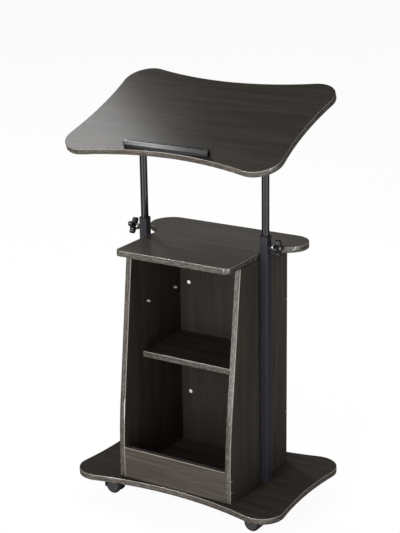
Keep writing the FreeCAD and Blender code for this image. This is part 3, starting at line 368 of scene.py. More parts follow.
def noise(wire, spot, cell, detail=2.0, distortion=0.0, roughness=0.55):
    """Noise whose cells have this size in metres along X, Y and Z."""
    scale = tuple(1 / side for side in cell)
    spread = wire.node("ShaderNodeVectorMath", {"operation": "MULTIPLY"}, {0: spot, 1: scale})
    values = {"Vector": spread, "Scale": 1.0, "Detail": detail}
    values |= {"Roughness": roughness, "Distortion": distortion}
    return wire.node("ShaderNodeTexNoise", {"noise_dimensions": "3D"}, values, output="Fac")


def even(size):
    """A noise cell with the same size all ways."""
    return (size, size, size)


def stretched(long, narrow):
    """A noise cell that is long along X."""
    return (long, narrow, narrow)


def layered(level, up):
    """A noise cell with one size along X and Y, and another along Z."""
    return (level, level, up)


def bump(wire, height, depth, strength):
    """A normal that follows fine heights."""
    values = {"Height": height, "Distance": depth, "Strength": strength}
    return wire.node("ShaderNodeBump", {}, values, output="Normal")


def swung(*layers):
    """A tone about one half that each (noise, weight) layer swings up and down."""
    tone = 0.5
    for layer, weight in layers:
        tone = tone + (layer - 0.5) * weight
    return tone


def opaque(tone):
    """A colour with full alpha."""
    return (*tone, 1)


# Finishes
def polish(wire, amount, fall):
    """Weight of a clear coat that thins at grazing angles, where a white room would bleach dark faces."""
    slant = wire.node("ShaderNodeLayerWeight", {}, {"Blend": 0.5}, output="Facing")
    return wire.maths("POWER", 1 - slant, fall) * amount


def coated(wire, base, rough, normal, gloss, smooth, fall=2.0, index=1.6):
    """A dull surface under a clear coat: its weight, roughness, how soon it thins, and refractive index."""
    close(wire, wire.node("ShaderNodeBsdfPrincipled", {}, {
        "Base Color": base,
        "Roughness": rough,
        "Normal": normal,
        "Specular IOR Level": 0.0,
        "Coat Weight": polish(wire, gloss, fall),
        "Coat Roughness": smooth,
        "Coat IOR": index,
    }))


def wood_grain(name, look, tones, gloss, smooth, turn=LEVEL, fall=2.0):
    """Printed wood grain in a dark, a middle and a pale tone: broad figure, fine fibres and short pores."""
    material, wire = new_finish(name)
    spot = place(wire, turn)
    figure_cell = stretched(look.figure_length, look.figure_width)
    figure = noise(wire, spot, figure_cell, detail=3.0, distortion=0.6)
    fibre = noise(wire, spot, stretched(look.fibre_length, look.fibre_width))
    pore = noise(wire, spot, stretched(look.pore_length, look.pore_width), detail=1.0) > 0.66
    cloud = noise(wire, spot, stretched(look.cloud_length, look.cloud_width), detail=1.0)
    tone = swung((figure, 0.85), (fibre, 0.75), (cloud, 0.35))
    stops = list(zip((0.22, 0.5, 0.8), tones))
    grain = wire.node("ShaderNodeValToRGB", {"stops": stops}, {"Fac": tone})
    base = blend(wire, grain, opaque(tones[0]), pore * 0.55)
    relief = bump(wire, fibre - pore * 0.5, depth=0.00012, strength=0.6)
    coated(wire, base, 0.5 + fibre * 0.2, relief, gloss, smooth, fall)
    return material


def edge_strip(name, look, rim, node, turn=LEVEL):
    """Edge band: streaks, dashes and fine lines along it, and a paler rim along its top edge.

    The rim is the band's pale trimmed core and also a painted highlight: it lies only on the side that the
    turn puts on top, where the edge catches the light.
    """
    material, wire = new_finish(name)
    spot = place(wire, turn)
    streak_cell = layered(look.streak_length, look.streak_width)
    streak = noise(wire, spot, streak_cell, detail=3.0, distortion=0.2)
    dash = noise(wire, spot, layered(look.dash_length, look.dash_width), distortion=0.4)
    line = noise(wire, spot, layered(look.line_length, look.line_width))
    tone = swung((streak, 0.6), (dash, 1.2), (line, 0.9))
    stops = [(0.2, look.band_dark), (0.5, look.band), (0.82, look.band_pale)]
    print_tone = wire.node("ShaderNodeValToRGB", {"stops": stops}, {"Fac": tone})
    top = max(high.z for low, high in solids(node, turn))
    height = wire.node("ShaderNodeSeparateXYZ", {}, {0: spot}, output="Z")
    # Pale rim on the top edge only: partly the trimmed core, partly a painted highlight where the upper
    # edge catches the light
    rim_and_highlight_mask = (height > top - look.rim_width) * (0.5 + dash * 0.5)
    base = blend(wire, print_tone, opaque(rim), rim_and_highlight_mask)
    relief = bump(wire, dash + line, depth=0.00008, strength=0.06)
    coated(wire, base, 0.45 + dash * 0.2, relief, look.band_gloss, smooth=0.1, fall=6.0, index=2.0)
    return material


def painted_steel(name, tone, peel, gloss, smooth, fall=2.0):
    """Powder coat: fine orange peel, faint clouds and a few rubbed places."""
    material, wire = new_finish(name)
    spot = place(wire)
    grit = noise(wire, spot, even(peel))
    cloud = noise(wire, spot, layered(0.05, 0.12))
    rub = noise(wire, spot, layered(0.004, 0.05), detail=3.0, distortion=0.4) > 0.68
    pale = tuple(min(1, part * 1.5 + 0.006) for part in tone)
    base = blend(wire, opaque(tone), opaque(pale), cloud * 0.35 + rub * 0.12)
    relief = bump(wire, grit, depth=0.00005, strength=0.5)
    coated(wire, base, 0.4 + cloud * 0.1 + grit * 0.05, relief, gloss, smooth, fall)
    return material


def plated_steel(name, metal):
    """Zinc plate: bright grey with a faint spangle and dull patches."""
    material, wire = new_finish(name)
    spot = place(wire)
    spangle = noise(wire, spot, even(metal.spangle))
    patch = noise(wire, spot, even(metal.patch))
    tone = metal.zinc
    warm = (tone[0] * 0.92, tone[1] * 0.88, tone[2] * 0.78)
    close(wire, wire.node("ShaderNodeBsdfPrincipled", {}, {
        "Base Color": blend(wire, opaque(tone), opaque(warm), patch * 0.5),
        "Metallic": 1.0,
        "Roughness": 0.24 + patch * 0.16 + spangle * 0.06,
        "Normal": bump(wire, spangle, depth=0.00003, strength=0.4),
    }))
    return material


def moulded(name, plastic, tone, gloss, smooth):
    """Moulded plastic: spark-eroded texture, a dusty bloom and slightly uneven gloss."""
    material, wire = new_finish(name)
    spot = place(wire)
    grit = noise(wire, spot, even(plastic.texture))
    bloom = noise(wire, spot, even(plastic.bloom), detail=3.0)
    dusty = tuple(min(1, part * 1.4 + 0.008) for part in tone)
    base = blend(wire, opaque(tone), opaque(dusty), bloom * 0.5)
    relief = bump(wire, grit, depth=0.00006, strength=0.5)
    coated(wire, base, 0.4 + bloom * 0.12 + grit * 0.06, relief, gloss, smooth)
    return material


def cast_zinc(name, metal, tone):
    """Cast zinc: pale and dull, with fine pits and grey handling marks."""
    material, wire = new_finish(name)
    spot = place(wire)
    pit = noise(wire, spot, even(metal.pit))
    mark = noise(wire, spot, even(metal.mark))
    grey = tuple(part * 0.7 for part in tone)
    base = blend(wire, opaque(tone), opaque(grey), mark * 0.3 + (pit > 0.6) * 0.2)
    relief = bump(wire, pit, depth=0.00004, strength=0.5)
    coated(wire, base, 0.4 + mark * 0.2, relief, gloss=0.5, smooth=0.3)
    return material


def wheel_finish(name, plastic, middle, face_radius):
    """A wheel about Y: a black tread round a smooth grey face, with faint rings from the mould."""
    ring_waves = 6000
    dust = (0.05, 0.05, 0.05)
    material, wire = new_finish(name)
    spot = place(wire)
    out = wire.node("ShaderNodeVectorMath", {"operation": "SUBTRACT"}, {0: spot, 1: middle})
    flat = wire.node("ShaderNodeVectorMath", {"operation": "MULTIPLY"}, {0: out, 1: (1, 0, 1)})
    radius = wire.node("ShaderNodeVectorMath", {"operation": "LENGTH"}, {0: flat}, output="Value")
    grit = noise(wire, spot, even(plastic.texture))
    bloom = noise(wire, spot, even(plastic.bloom), detail=3.0)
    rings = wire.maths("SINE", radius * ring_waves)
    base = blend(wire, opaque(plastic.wheel), opaque(plastic.tread), radius > face_radius)
    dusty = blend(wire, base, opaque(dust), bloom * 0.25)
    relief = bump(wire, grit + rings * 0.2, depth=0.00005, strength=0.5)
    coated(wire, dusty, 0.4 + bloom * 0.15, relief, gloss=0.35, smooth=0.3)
    return material


def beech(name, tone):
    """Plain beech with short brown flecks."""
    material, wire = new_finish(name)
    spot = place(wire, UPRIGHT)
    fibre = noise(wire, spot, stretched(0.03, 0.0008))
    fleck = noise(wire, spot, stretched(0.004, 0.0006), detail=1.0) > 0.68
    dark = tuple(part * 0.55 for part in tone)
    close(wire, wire.node("ShaderNodeBsdfPrincipled", {}, {
        "Base Color": blend(wire, opaque(tone), opaque(dark), fibre * 0.35 + fleck * 0.35),
        "Roughness": 0.6 + fibre * 0.15,
        "Normal": bump(wire, fibre, depth=0.00008, strength=0.5),
    }))
    return material


def dress(material, *nodes):
    """Gives CAD nodes a finish."""
    for node in nodes:
        slots = NODES[node].data.materials
        slots.clear()
        slots.append(material)


def round_over(width, thing):
    """Rounds the sharp edges of an object, with modifiers alone."""
    weld = thing.modifiers.new("weld", "WELD")
    weld.merge_threshold = SAME_SPOT
    edge = thing.modifiers.new("round-over", "BEVEL")
    edge.width = width
    edge.segments = BEVEL_STEPS
    edge.limit_method = "ANGLE"
    edge.angle_limit = BEVEL_ANGLE
    edge.harden_normals = True


# Mesh building
def solids(node, turn=LEVEL):
    """The lowest and highest corner of each separate solid of a node, in a turned frame."""
    mesh = bmesh.new()
    mesh.from_mesh(NODES[node].data)
    bmesh.ops.remove_doubles(mesh, verts=mesh.verts, dist=SAME_SPOT)
    back = turn.transposed()
    met = set()
    boxes = []
    for start in mesh.verts:
        if start in met:
            continue
        met.add(start)
        reach = [start]
        spots = []
        while reach:
            vertex = reach.pop()
            spots.append(back @ vertex.co)
            for edge in vertex.link_edges:
                other = edge.other_vert(vertex)
                if other not in met:
                    met.add(other)
                    reach.append(other)
        low = Vector(min(spot[axis] for spot in spots) for axis in range(3))
        high = Vector(max(spot[axis] for spot in spots) for axis in range(3))
        boxes.append((low, high))
    mesh.free()
    return boxes


def ring(mesh, radius, height, sides):
    """A ring of vertices about Z, or one vertex where the radius is nought."""
    if radius == 0:
        return [mesh.verts.new((0, 0, height))]
    turns = [2 * math.pi * i / sides for i in range(sides)]
    return [mesh.verts.new((radius * math.cos(a), radius * math.sin(a), height)) for a in turns]


def skin(mesh, first, second):
    """Faces between two rings."""
    count = max(len(first), len(second))
    for i in range(count):
        j = (i + 1) % count
        near, next_near = first[i % len(first)], first[j % len(first)]
        far, next_far = second[i % len(second)], second[j % len(second)]
        corners = [near, next_near, next_far, far]
        if len(first) == 1:
            corners.pop(0)
        elif len(second) == 1:
            corners.pop()
        mesh.faces.new(corners)


def turned(profile):
    """A round piece about Z from (radius, height) points, from one end on the axis to the other."""
    mesh = bmesh.new()
    rings = [ring(mesh, radius, height, ROUND_SIDES) for radius, height in profile]
    for first, second in zip(rings, rings[1:]):
        skin(mesh, first, second)
    return mesh


def thread(mesh, radius, depth, pitch, low, high, sides):
    """Adds a helical thread about Z, closed and tapered at both ends."""
    fewest_rows = 8
    end_share = 0.25
    rows = max(fewest_rows, int((high - low) / pitch * THREAD_ROWS_PER_TURN))
    rings = [ring(mesh, 0, low, sides)]
    for row in range(rows + 1):
        height = low + (high - low) * row / rows
        taper = min(1, (height - low) / depth + end_share, (high - height) / depth + end_share)
        rounds = []
        for i in range(sides):
            swing = (height / pitch - i / sides) % 1
            crest = 1 - abs(2 * swing - 1)
            reach = radius - depth * (1 - crest) - (1 - taper) * depth
            turn = 2 * math.pi * i / sides
            rounds.append(mesh.verts.new((reach * math.cos(turn), reach * math.sin(turn), height)))
        rings.append(rounds)
    rings.append(ring(mesh, 0, high, sides))
    for first, second in zip(rings, rings[1:]):
        skin(mesh, first, second)
    return mesh


def outward(mesh):
    """Turns all faces of a mesh to the outside."""
    bmesh.ops.recalc_face_normals(mesh, faces=mesh.faces)
    return mesh


def cut_away(body, cutter):
    """What is left of one mesh when another is cut from it."""
    things = []
    for name, mesh in (("cut body", body), ("cut tool", cutter)):
        data = bpy.data.meshes.new(name)
        outward(mesh).to_mesh(data)
        mesh.free()
        thing = bpy.data.objects.new(name, data)
        bpy.context.scene.collection.objects.link(thing)
        things.append(thing)
    whole, tool = things
    step = whole.modifiers.new("cut", "BOOLEAN")
    step.operation = "DIFFERENCE"
    step.solver = "EXACT"
    step.object = tool
    shaped = whole.evaluated_get(bpy.context.evaluated_depsgraph_get())
    result = bmesh.new()
    result.from_mesh(shaped.data)
    for thing in things:
        bpy.data.objects.remove(thing)
    return result


def cross_cutter(reach, depth, top):
    """Two crossing wedges, for the recess of a cross-head screw."""
    mesh = bmesh.new()
    side = reach * RECESS_WIDTH_SHARE / 2
    mouth = (reach, side, top + depth)
    floor = (reach * FLOOR_LENGTH_SHARE, side * FLOOR_WIDTH_SHARE, top - depth)
    for turn in (0, math.radians(90)):
        corners = []
        for half_length, half_width, height in (floor, mouth):
            for along, across in ((-1, -1), (1, -1), (1, 1), (-1, 1)):
                spot = Vector((along * half_length, across * half_width, height))
                corners.append(mesh.verts.new(Matrix.Rotation(turn, 3, "Z") @ spot))
        for face in ((3, 2, 1, 0), (4, 5, 6, 7), (0, 1, 5, 4), (1, 2, 6, 5), (2, 3, 7, 6), (3, 0, 4, 7)):
            mesh.faces.new([corners[i] for i in face])
    return mesh


def pan_screw(head, height, shank, reach, sizes):
    """A pan-head screw along Z: head up from 0, threaded shank down to -reach."""
    neck, crown, shoulder = shank * NECK_SHARE, head * CROWN_SHARE, height * SHOULDER_SHARE
    foot = -sizes.head_overlap
    profile = [(0, foot), (neck, foot), (neck, 0), (head, 0), (head, shoulder)]
    for step in range(1, DOME_STEPS):
        lean = math.radians(90 * step / DOME_STEPS)
        out = crown + (head - crown) * math.cos(lean)
        up = shoulder + (height - shoulder) * math.sin(lean)
        profile.append((out, up))
    profile += [(head * CROWN_FLAT_SHARE, height), (0, height)]
    mesh = cut_away(turned(profile), cross_cutter(head * RECESS_SHARE, sizes.recess_depth, height))
    depth = shank * SCREW_THREAD_SHARE
    thread(mesh, shank, depth, sizes.screw_pitch, -reach, -sizes.thread_start, SCREW_THREAD_SIDES)
    return outward(mesh)


def quarter_turn():
    """Angles from nought to a right angle."""
    return [math.radians(90) * step / ARC_STEPS for step in range(ARC_STEPS + 1)]


def ledge_section(low, high, sizes):
    """The ledge's outline across its length: (depth, height) points from front foot to back foot."""
    outline = [(low.y, low.z), (low.y, high.z - sizes.slant_height), (low.y + sizes.slant_depth, high.z)]
    for lean in quarter_turn():
        depth = high.y - sizes.back_round * (1 - math.sin(lean))
        height = high.z - sizes.back_round * (1 - math.cos(lean))
        outline.append((depth, height))
    return outline + [(high.y, low.z)]


def ledge_block(low, high, sizes):
    """The ledge without its groove and holes: its outline along X, drawn in towards both ends."""
    outline = ledge_section(low, high, sizes)
    middle = (low.y + high.y) / 2
    ends = []
    for lean in quarter_turn():
        from_end = sizes.end_round * (1 - math.sin(lean))
        inset = sizes.end_round * (1 - math.cos(lean))
        ends.append((from_end, inset))
    stations = [(low.x + from_end, inset) for from_end, inset in reversed(ends)]
    stations += [(high.x - from_end, inset) for from_end, inset in ends]
    mesh = bmesh.new()
    rings = []
    for x, inset in stations:
        narrow = 1 - inset / (high.y - middle)
        lower = 1 - inset / (high.z - low.z)
        spots = [(x, middle + (y - middle) * narrow, low.z + (z - low.z) * lower) for y, z in outline]
        rings.append([mesh.verts.new(spot) for spot in spots])
    for first, second in zip(rings, rings[1:]):
        skin(mesh, first, second)
    mesh.faces.new(rings[0])
    mesh.faces.new(rings[-1])
    return mesh


def ledge_cutter(low, high, sizes):
    """A long block with round ends for the groove along the ledge's top, and pegs for its screw holes."""
    radius = sizes.groove_radius
    reach = (high.x - low.x) / 2 - sizes.groove_end - radius
    across = low.y + sizes.groove_back
    half_turn = [lean - math.radians(90) for lean in quarter_turn()] + quarter_turn()[1:]
    outline = []
    for way in (1, -1):
        for lean in half_turn:
            along = reach + radius * math.cos(lean)
            outline.append((way * along, across + way * radius * math.sin(lean)))
    mesh = bmesh.new()
    heights = (high.z - sizes.groove_depth, high.z + sizes.groove_depth)
    rims = [[mesh.verts.new((x, y, height)) for x, y in outline] for height in heights]
    skin(mesh, *rims)
    for rim in rims:
        mesh.faces.new(rim)
    for head, tip in solids("ledge_screws", TILTED):
        floor, end = low.z - sizes.hole_spare, tip.z + sizes.hole_spare
        peg = turned([(0, floor), (sizes.hole_radius, floor), (sizes.hole_radius, end), (0, end)])
        seat(mesh, peg, Matrix.Translation(((head.x + tip.x) / 2, (head.y + tip.y) / 2, 0)))
        peg.free()
    return mesh


def seat(mesh, part, where):
    """Adds a copy of one mesh to another, at a place."""
    data = bpy.data.meshes.new("copy")
    part.to_mesh(data)
    data.transform(where)
    mesh.from_mesh(data)
    bpy.data.meshes.remove(data)


def piece(name, mesh, material, body, finish, *nodes):
    """A finished object that rides on a body and stands for CAD nodes."""
    data = bpy.data.meshes.new(name)
    mesh.to_mesh(data)
    mesh.free()
    data.shade_smooth()
    data.set_sharp_from_angle(angle=SHARP_ANGLE)
    data.materials.append(material)
    thing = bpy.data.objects.new(name, data)
    bpy.context.scene.collection.objects.link(thing)
    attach(thing, body)
    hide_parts(*nodes)
    return thing


def facing(direction):
    """The turn that brings Z to a direction."""
    return Vector((0, 0, 1)).rotation_difference(Vector(direction)).to_matrix()


def screws(name, node, body, material, finish, outside, height, sizes, turn=LEVEL):
    """Pan-head screws where a node has them.

    outside gives the way that a solid's head faces, in the turned frame.
    """
    mesh = bmesh.new()
    for low, high in solids(node, turn):
        middle = (low + high) / 2
        way = Vector(outside(middle))
        axis = max(range(3), key=lambda i: abs(way[i]))
        head = (high - low)[(axis + 1) % 3] / 2
        reach = (high - low)[axis] - height
        spot = middle + way * (reach - height) / 2
        screw = pan_screw(head, height, head * SHANK_SHARE, reach, sizes)
        seat(mesh, screw, turn.to_4x4() @ Matrix.Translation(spot) @ facing(way).to_4x4())
        screw.free()
    piece(name, mesh, material, body, finish, node)


def downward(middle):
    """The way of a head that faces down."""
    return (0, 0, -1)


def sideways(middle):
    """The way of a head that faces away from the cart's middle."""
    return (math.copysign(1, middle.x), 0, 0)


def inward(middle):
    """The way of a head that faces the cart's middle."""
    return (-math.copysign(1, middle.x), 0, 0)


# Pieces
class CART_OT_boards(Operator):
    """Gives the boards their printed wood grain, along X on level boards and upright on the panels"""
    bl_idname = "laptop_cart.boards"
    bl_label = "Boards"

    def execute(self, context):
        look = context.scene.cart_boards
        dark = (look.figure, look.face, look.streak)
        # low is the darker copy of the print, painted shade for the boards that lie in shade
        low = (look.shaded_figure, look.shaded_face, look.shaded_streak)
        # kick is the paler copy of the print, painted light on the front-lit kick panel
        kick = (look.lit_kick_figure, look.lit_kick_face, look.lit_kick_streak)
        base = wood_grain("base wood grain", look, low, look.gloss, smooth=0.4)
        dress(base, "base_board", "middle_shelf")
        top = wood_grain("cabinet top wood grain", look, dark, look.top_gloss, smooth=0.3, fall=1.5)
        dress(top, "top_shelf")
        upright = wood_grain("upright wood grain", look, dark, look.gloss, smooth=0.4, turn=UPRIGHT)
        dress(upright, "left_panel", "right_panel")
        back = wood_grain("back wood grain", look, low, look.gloss, smooth=0.4, turn=UPRIGHT)
        dress(back, "back_panel")
        front = wood_grain("kick wood grain", look, kick, look.gloss, smooth=0.4)
        dress(front, "kick_panel")
        desk = wood_grain("desktop wood grain", look, dark, look.desk_gloss, smooth=0.18, turn=TILTED)
        dress(desk, "desk_board")
        return {"FINISHED"}


class CART_OT_bands(Operator):
    """Gives the edge bands their streaks and rounds their rims"""
    bl_idname = "laptop_cart.bands"
    bl_label = "Edge bands"

    def execute(self, context):
        look = context.scene.cart_boards
        lie = dict.fromkeys(("base_band", "shelf_band", "top_band"), LEVEL)
        lie |= dict.fromkeys(("left_panel_band", "right_panel_band"), UPRIGHT)
        lie |= {"kick_band": FACE_UP, "desk_band": TILTED}
        for node, turn in lie.items():
            # The kick band's rim gets the brighter colour: a painted highlight along its front edge
            rim = look.kick_rim_highlight if node == "kick_band" else look.rim
            dress(edge_strip(node.replace("_", " ") + " print", look, rim, node, turn), node)
            round_over(look.round_over, NODES[node])
        return {"FINISHED"}


class CART_OT_posts(Operator):
    """Paints the posts with their clamp nuts and the tubes, and gives caps and plugs a moulded finish"""
    bl_idname = "laptop_cart.posts"
    bl_label = "Posts and tubes"

    def execute(self, context):
        metal = context.scene.cart_metals
        plastic = context.scene.cart_plastics
        powder = painted_steel(
            "post powder coat", metal.post, metal.peel, gloss=0.35, smooth=0.28, fall=4.0
        )
        dress(powder, "left_post", "right_post", "clamp_nuts")
        paint = painted_steel("tube paint", metal.tube, metal.peel, gloss=1.0, smooth=0.12, fall=6.0)
        dress(paint, "left_tube", "right_tube")
        cap = moulded("cap plastic", plastic, plastic.plug, gloss=0.3, smooth=0.35)
        dress(cap, "post_caps", "foot_plugs", "tube_plugs")
        return {"FINISHED"}


class CART_OT_tilt_head(Operator):
    """Paints the tilt brackets and plates their bolts and nuts"""
    bl_idname = "laptop_cart.tilt_head"
    bl_label = "Tilt head"

    def execute(self, context):
        metal = context.scene.cart_metals
        powder = painted_steel("bracket powder coat", metal.bracket, metal.peel, gloss=0.3, smooth=0.3)
        dress(powder, "left_bracket", "right_bracket")
        dress(plated_steel("zinc plate of the pivots", metal), "pivot_bolts", "pivot_nuts")
        return {"FINISHED"}


class CART_OT_ledge(Operator):
    """Moulds the stop ledge with its slanted front, its groove and its screw holes"""
    bl_idname = "laptop_cart.ledge"
    bl_label = "Stop ledge"

    def execute(self, context):
        plastic = context.scene.cart_plastics
        sizes = context.scene.cart_ledge
        low, high = solids("ledge", TILTED)[0]
        mesh = cut_away(ledge_block(low, high, sizes), ledge_cutter(low, high, sizes))
        mesh.transform(TILTED.to_4x4())
        finish = moulded("ledge plastic", plastic, plastic.ledge, gloss=1.0, smooth=0.2)
        thing = piece("moulded_ledge", mesh, finish, "desk", "ledge_plastic", "ledge")
        round_over(sizes.rim_round, thing)
        return {"FINISHED"}


class CART_OT_knobs(Operator):
    """Gives the star knobs their moulded finish"""
    bl_idname = "laptop_cart.knobs"
    bl_label = "Star knobs"

    def execute(self, context):
        plastic = context.scene.cart_plastics
        finish = moulded("knob plastic", plastic, plastic.knob, gloss=0.5, smooth=0.2)
        dress(finish, "left_knob", "right_knob", "left_tilt_knob", "right_tilt_knob")
        return {"FINISHED"}


class CART_OT_studs(Operator):
    """Makes the clamp studs of the height knobs, with threads and collars"""
    bl_idname = "laptop_cart.studs"
    bl_label = "Threaded studs"

    def execute(self, context):
        sizes = context.scene.cart_fittings
        zinc = plated_steel("zinc plate of the studs", context.scene.cart_metals)
        for side in SIDES:
            node = side + "_stud"
            low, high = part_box(node)
            middle = (low + high) / 2
            half = (high.x - low.x) / 2
            radius = sizes.stud_radius
            depth = radius * STUD_THREAD_SHARE
            mesh = thread(bmesh.new(), radius, depth, sizes.stud_pitch, -half, half, ROUND_SIDES)
            collar = (high.z - low.z) / 2
            edge = collar - sizes.collar_chamfer
            back = half - sizes.collar_back
            front = back + sizes.collar_thickness
            rim = [(0, back), (edge, back), (collar, back + sizes.collar_chamfer)]
            rim += [(collar, front - sizes.collar_chamfer), (edge, front), (0, front)]
            ring_mesh = turned(rim)
            seat(mesh, ring_mesh, Matrix.Identity(4))
            ring_mesh.free()
            way = facing(sideways(middle)).to_4x4()
            bmesh.ops.transform(outward(mesh), matrix=Matrix.Translation(middle) @ way, verts=mesh.verts)
            piece(side + "_threaded_stud", mesh, zinc, "height_knob_" + side, "zinc", node)
        return {"FINISHED"}


class CART_OT_screws(Operator):
    """Puts cross-head screws with threads where the frame has plain ones"""
    bl_idname = "laptop_cart.screws"
    bl_label = "Screws and bolts"

    def execute(self, context):
        sizes = context.scene.cart_fittings
        metal = context.scene.cart_metals
        zinc = plated_steel("zinc plate of the screws", metal)
        black = painted_steel("black oxide", metal.bolt, metal.peel, gloss=0.5, smooth=0.25)
        head, bolt = sizes.head_height, sizes.bolt_head_height
        dull = cast_zinc("dull zinc of the screws", metal, metal.cast)
        screws("panel_cross_screws", "panel_screws", "cart", dull, "zinc", sideways, head, sizes)
        for group in ("base", "caster"):
            name, node = group + "_cross_screws", group + "_screws"
            screws(name, node, "cart", zinc, "zinc", downward, head, sizes)
        screws("foot_cross_bolts", "foot_bolts", "cart", zinc, "zinc", downward, bolt, sizes)
        screws("post_cross_bolts", "post_bolts", "cart", black, "black_bolt", inward, bolt, sizes)
        for group in ("bracket", "ledge"):
            name, node = group + "_cross_screws", group + "_screws"
            screws(name, node, "desk", zinc, "zinc", downward, head, sizes, TILTED)
        return {"FINISHED"}


class CART_OT_fittings(Operator):
    """Gives the tilt studs, barrel nuts and shelf pins their zinc, and the dowels their beech"""
    bl_idname = "laptop_cart.fittings"
    bl_label = "Cabinet fittings"

    def execute(self, context):
        metal = context.scene.cart_metals
        dress(plated_steel("zinc plate of the fittings", metal), "tilt_studs")
        dress(cast_zinc("cast zinc", metal, metal.cast), "barrel_nuts")
        dress(cast_zinc("pin zinc", metal, metal.pin), "shelf_pins")
        dress(beech("dowel beech", context.scene.cart_plastics.dowel), "top_dowels")
        return {"FINISHED"}


class CART_OT_casters(Operator):
    """Finishes the casters: plates and axles in zinc, hoods and wheels moulded"""
    bl_idname = "laptop_cart.casters"
    bl_label = "Casters"

    def execute(self, context):
        plastic = context.scene.cart_plastics
        zinc = plated_steel("zinc plate of the casters", context.scene.cart_metals)
        hood = moulded("hood plastic", plastic, plastic.hood, gloss=0.5, smooth=0.25)
        dress(zinc, "caster_plates")
        for corner in CORNERS:
            dress(zinc, "caster_axle_" + corner)
            dress(hood, "caster_hood_" + corner)
            node = "caster_wheels_" + corner
            low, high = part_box(node)
            name = corner.replace("_", " ") + " wheel plastic"
            face_radius = (high.z - low.z) * WHEEL_FACE_SHARE
            dress(wheel_finish(name, plastic, (low + high) / 2, face_radius), node)
        return {"FINISHED"}


# Stage
def lamp(name, watts, where, towards, size, mirrored=True, spread=True):
    """A soft lamp that faces a point. Glossy faces show it if mirrored, and matt ones are lit if spread.

    Its size is its width and its height.
    """
    light = bpy.data.lights.new(name, "AREA")
    light.shape = "RECTANGLE"
    light.size, light.size_y = size
    light.energy = watts
    thing = bpy.data.objects.new(name, light)
    aim = (Vector(where) - Vector(towards)).to_track_quat("Z", "Y").to_matrix()
    thing.matrix_world = Matrix.Translation(where) @ aim.to_4x4()
    thing.visible_glossy = mirrored
    thing.visible_diffuse = spread
    bpy.context.scene.collection.objects.link(thing)


def background_rays(wire):
    """One for rays that show the plain background: from the camera, by reflection or through glass."""
    paths = [wire.node("ShaderNodeLightPath", output=name) for name in (
        "Is Camera Ray", "Is Glossy Ray", "Is Transmission Ray"
    )]
    first = wire.maths("MAXIMUM", paths[0], paths[1])
    return wire.maths("MAXIMUM", first, paths[2])


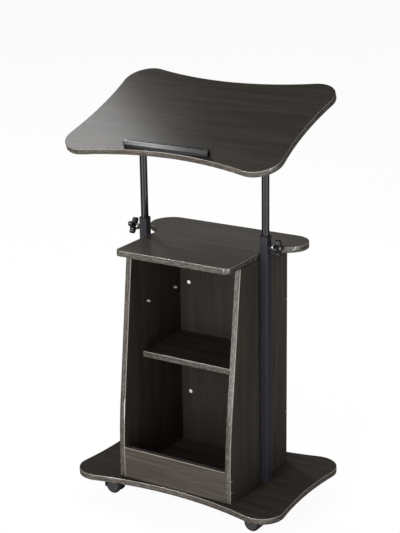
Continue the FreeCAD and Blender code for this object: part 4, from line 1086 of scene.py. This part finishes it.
class CART_OT_stage(Operator):
    """Sets the plain pale floor, the soft lamps, the even sky and the camera"""
    bl_idname = "laptop_cart.stage"
    bl_label = "Stage"

    def execute(self, context):
        scene = context.scene
        look = scene.cart_stage
        self.set_sky(scene, look)
        self.set_floor(scene, look)
        self.set_lamps(look)
        self.set_camera(scene, look)
        scene.view_settings.view_transform = "Standard"
        return {"FINISHED"}

    def set_lamps(self, look):
        """Broad lamps for matt light, slim ones that only show in glossy faces, and the desktop's sheen."""
        waist = (0, 0, 0.6)
        ledge = (0, -0.19, 0.87)
        desktop = (-0.2, -0.12, 0.93)
        lamp("key lamp", look.key, (0.0, -1.69, 0.82), (0, 0, 0.7), (0.65, 1.6), mirrored=False)
        lamp("side lamp", look.side, (1.99, 0.17, 0.8), (0, 0, 0.5), (1.4, 1.4))
        lamp("front strip lamp", look.front_strip, (-0.46, -1.61, 0.6), waist, (0.3, 1.2), spread=False)
        lamp("high strip lamp", look.high_strip, (-1.36, -2.02, 1.28), ledge, (0.45, 0.6), spread=False)
        lamp("right strip lamp", look.right_strip, (1.617, -0.525, 0.7), waist, (0.3, 1.3), spread=False)
        lamp("back lamp", look.back, (0.3, 2.2, 1.5), waist, (1.2, 0.8))
        lamp("sheen lamp", look.sheen, (-3.18, 1.96, 4.36), desktop, (0.75, 1.35))

    def set_sky(self, scene, look):
        """An even pale light, and plain white where the background shows."""
        world = bpy.data.worlds.new("studio")
        world.use_nodes = True
        world.node_tree.nodes.clear()
        scene.world = world
        wire = Wire(world.node_tree)
        shown = background_rays(wire)
        strength = look.sky + shown * (1 - look.sky)
        sky = wire.node("ShaderNodeBackground", {}, {"Color": WHITE, "Strength": strength})
        wire.node("ShaderNodeOutputWorld", {}, {"Surface": sky})

    def set_floor(self, scene, look):
        """A wide floor that takes shadows and otherwise looks white."""
        material, wire = new_finish("pale floor")
        paint = wire.node("ShaderNodeBsdfDiffuse", {}, {"Color": opaque(look.floor)})
        glow = wire.node("ShaderNodeEmission", {}, {"Color": WHITE, "Strength": 1.0})
        shown = background_rays(wire)
        close(wire, wire.node("ShaderNodeMixShader", {}, {0: shown * FLOOR_GLOW, 1: paint, 2: glow}))
        mesh = bmesh.new()
        bmesh.ops.create_grid(mesh, x_segments=4, y_segments=4, size=FLOOR_REACH)
        data = bpy.data.meshes.new("floor")
        mesh.to_mesh(data)
        mesh.free()
        data.materials.append(material)
        floor = bpy.data.objects.new("floor", data)
        scene.collection.objects.link(floor)

    def set_camera(self, scene, look):
        """The camera that took the photo, as it was fitted."""
        data = bpy.data.cameras.new("camera")
        data.sensor_fit = "HORIZONTAL"
        data.sensor_width = SENSOR_WIDTH
        data.lens = look.lens
        data.clip_end = FARTHEST_SEEN
        camera = bpy.data.objects.new("camera", data)
        tip = Matrix.Rotation(math.radians(90) - look.height, 4, "X")
        upright = Matrix.Rotation(look.heading, 4, "Z") @ tip
        lean = Matrix.Rotation(look.roll, 4, "Z")
        camera.matrix_world = Matrix.Translation(look.camera) @ upright @ lean
        scene.collection.objects.link(camera)
        scene.camera = camera


OPERATORS = (
    CART_OT_boards, CART_OT_bands, CART_OT_posts, CART_OT_tilt_head, CART_OT_ledge, CART_OT_knobs,
    CART_OT_studs, CART_OT_screws, CART_OT_fittings, CART_OT_casters, CART_OT_stage,
)


class CART_PT_sidebar(Panel):
    """The cart's settings and pieces"""
    bl_idname = "CART_PT_sidebar"
    bl_label = "Laptop cart"
    bl_space_type = "VIEW_3D"
    bl_region_type = "UI"
    bl_category = "Laptop cart"

    def draw(self, context):
        for operator in OPERATORS:
            self.layout.operator(operator.bl_idname)
        for name, group in SETTINGS.items():
            box = self.layout.box()
            box.label(text=group.__doc__)
            for field in group.__annotations__:
                box.prop(getattr(context.scene, name), field)


def register():
    """Makes the settings, operators and panel known to Blender."""
    for group in SETTINGS.values():
        bpy.utils.register_class(group)
    for name, group in SETTINGS.items():
        setattr(bpy.types.Scene, name, PointerProperty(type=group))
    for operator in OPERATORS:
        bpy.utils.register_class(operator)
    bpy.utils.register_class(CART_PT_sidebar)


def unregister():
    """Takes them out again."""
    bpy.utils.unregister_class(CART_PT_sidebar)
    for operator in reversed(OPERATORS):
        bpy.utils.unregister_class(operator)
    for name in SETTINGS:
        delattr(bpy.types.Scene, name)
    for group in SETTINGS.values():
        bpy.utils.unregister_class(group)


def main():
    """Makes every piece and the stage."""
    register()
    for operator in OPERATORS:
        group, name = operator.bl_idname.split(".")
        getattr(getattr(bpy.ops, group), name)()


if __name__ == "__main__":
    main()
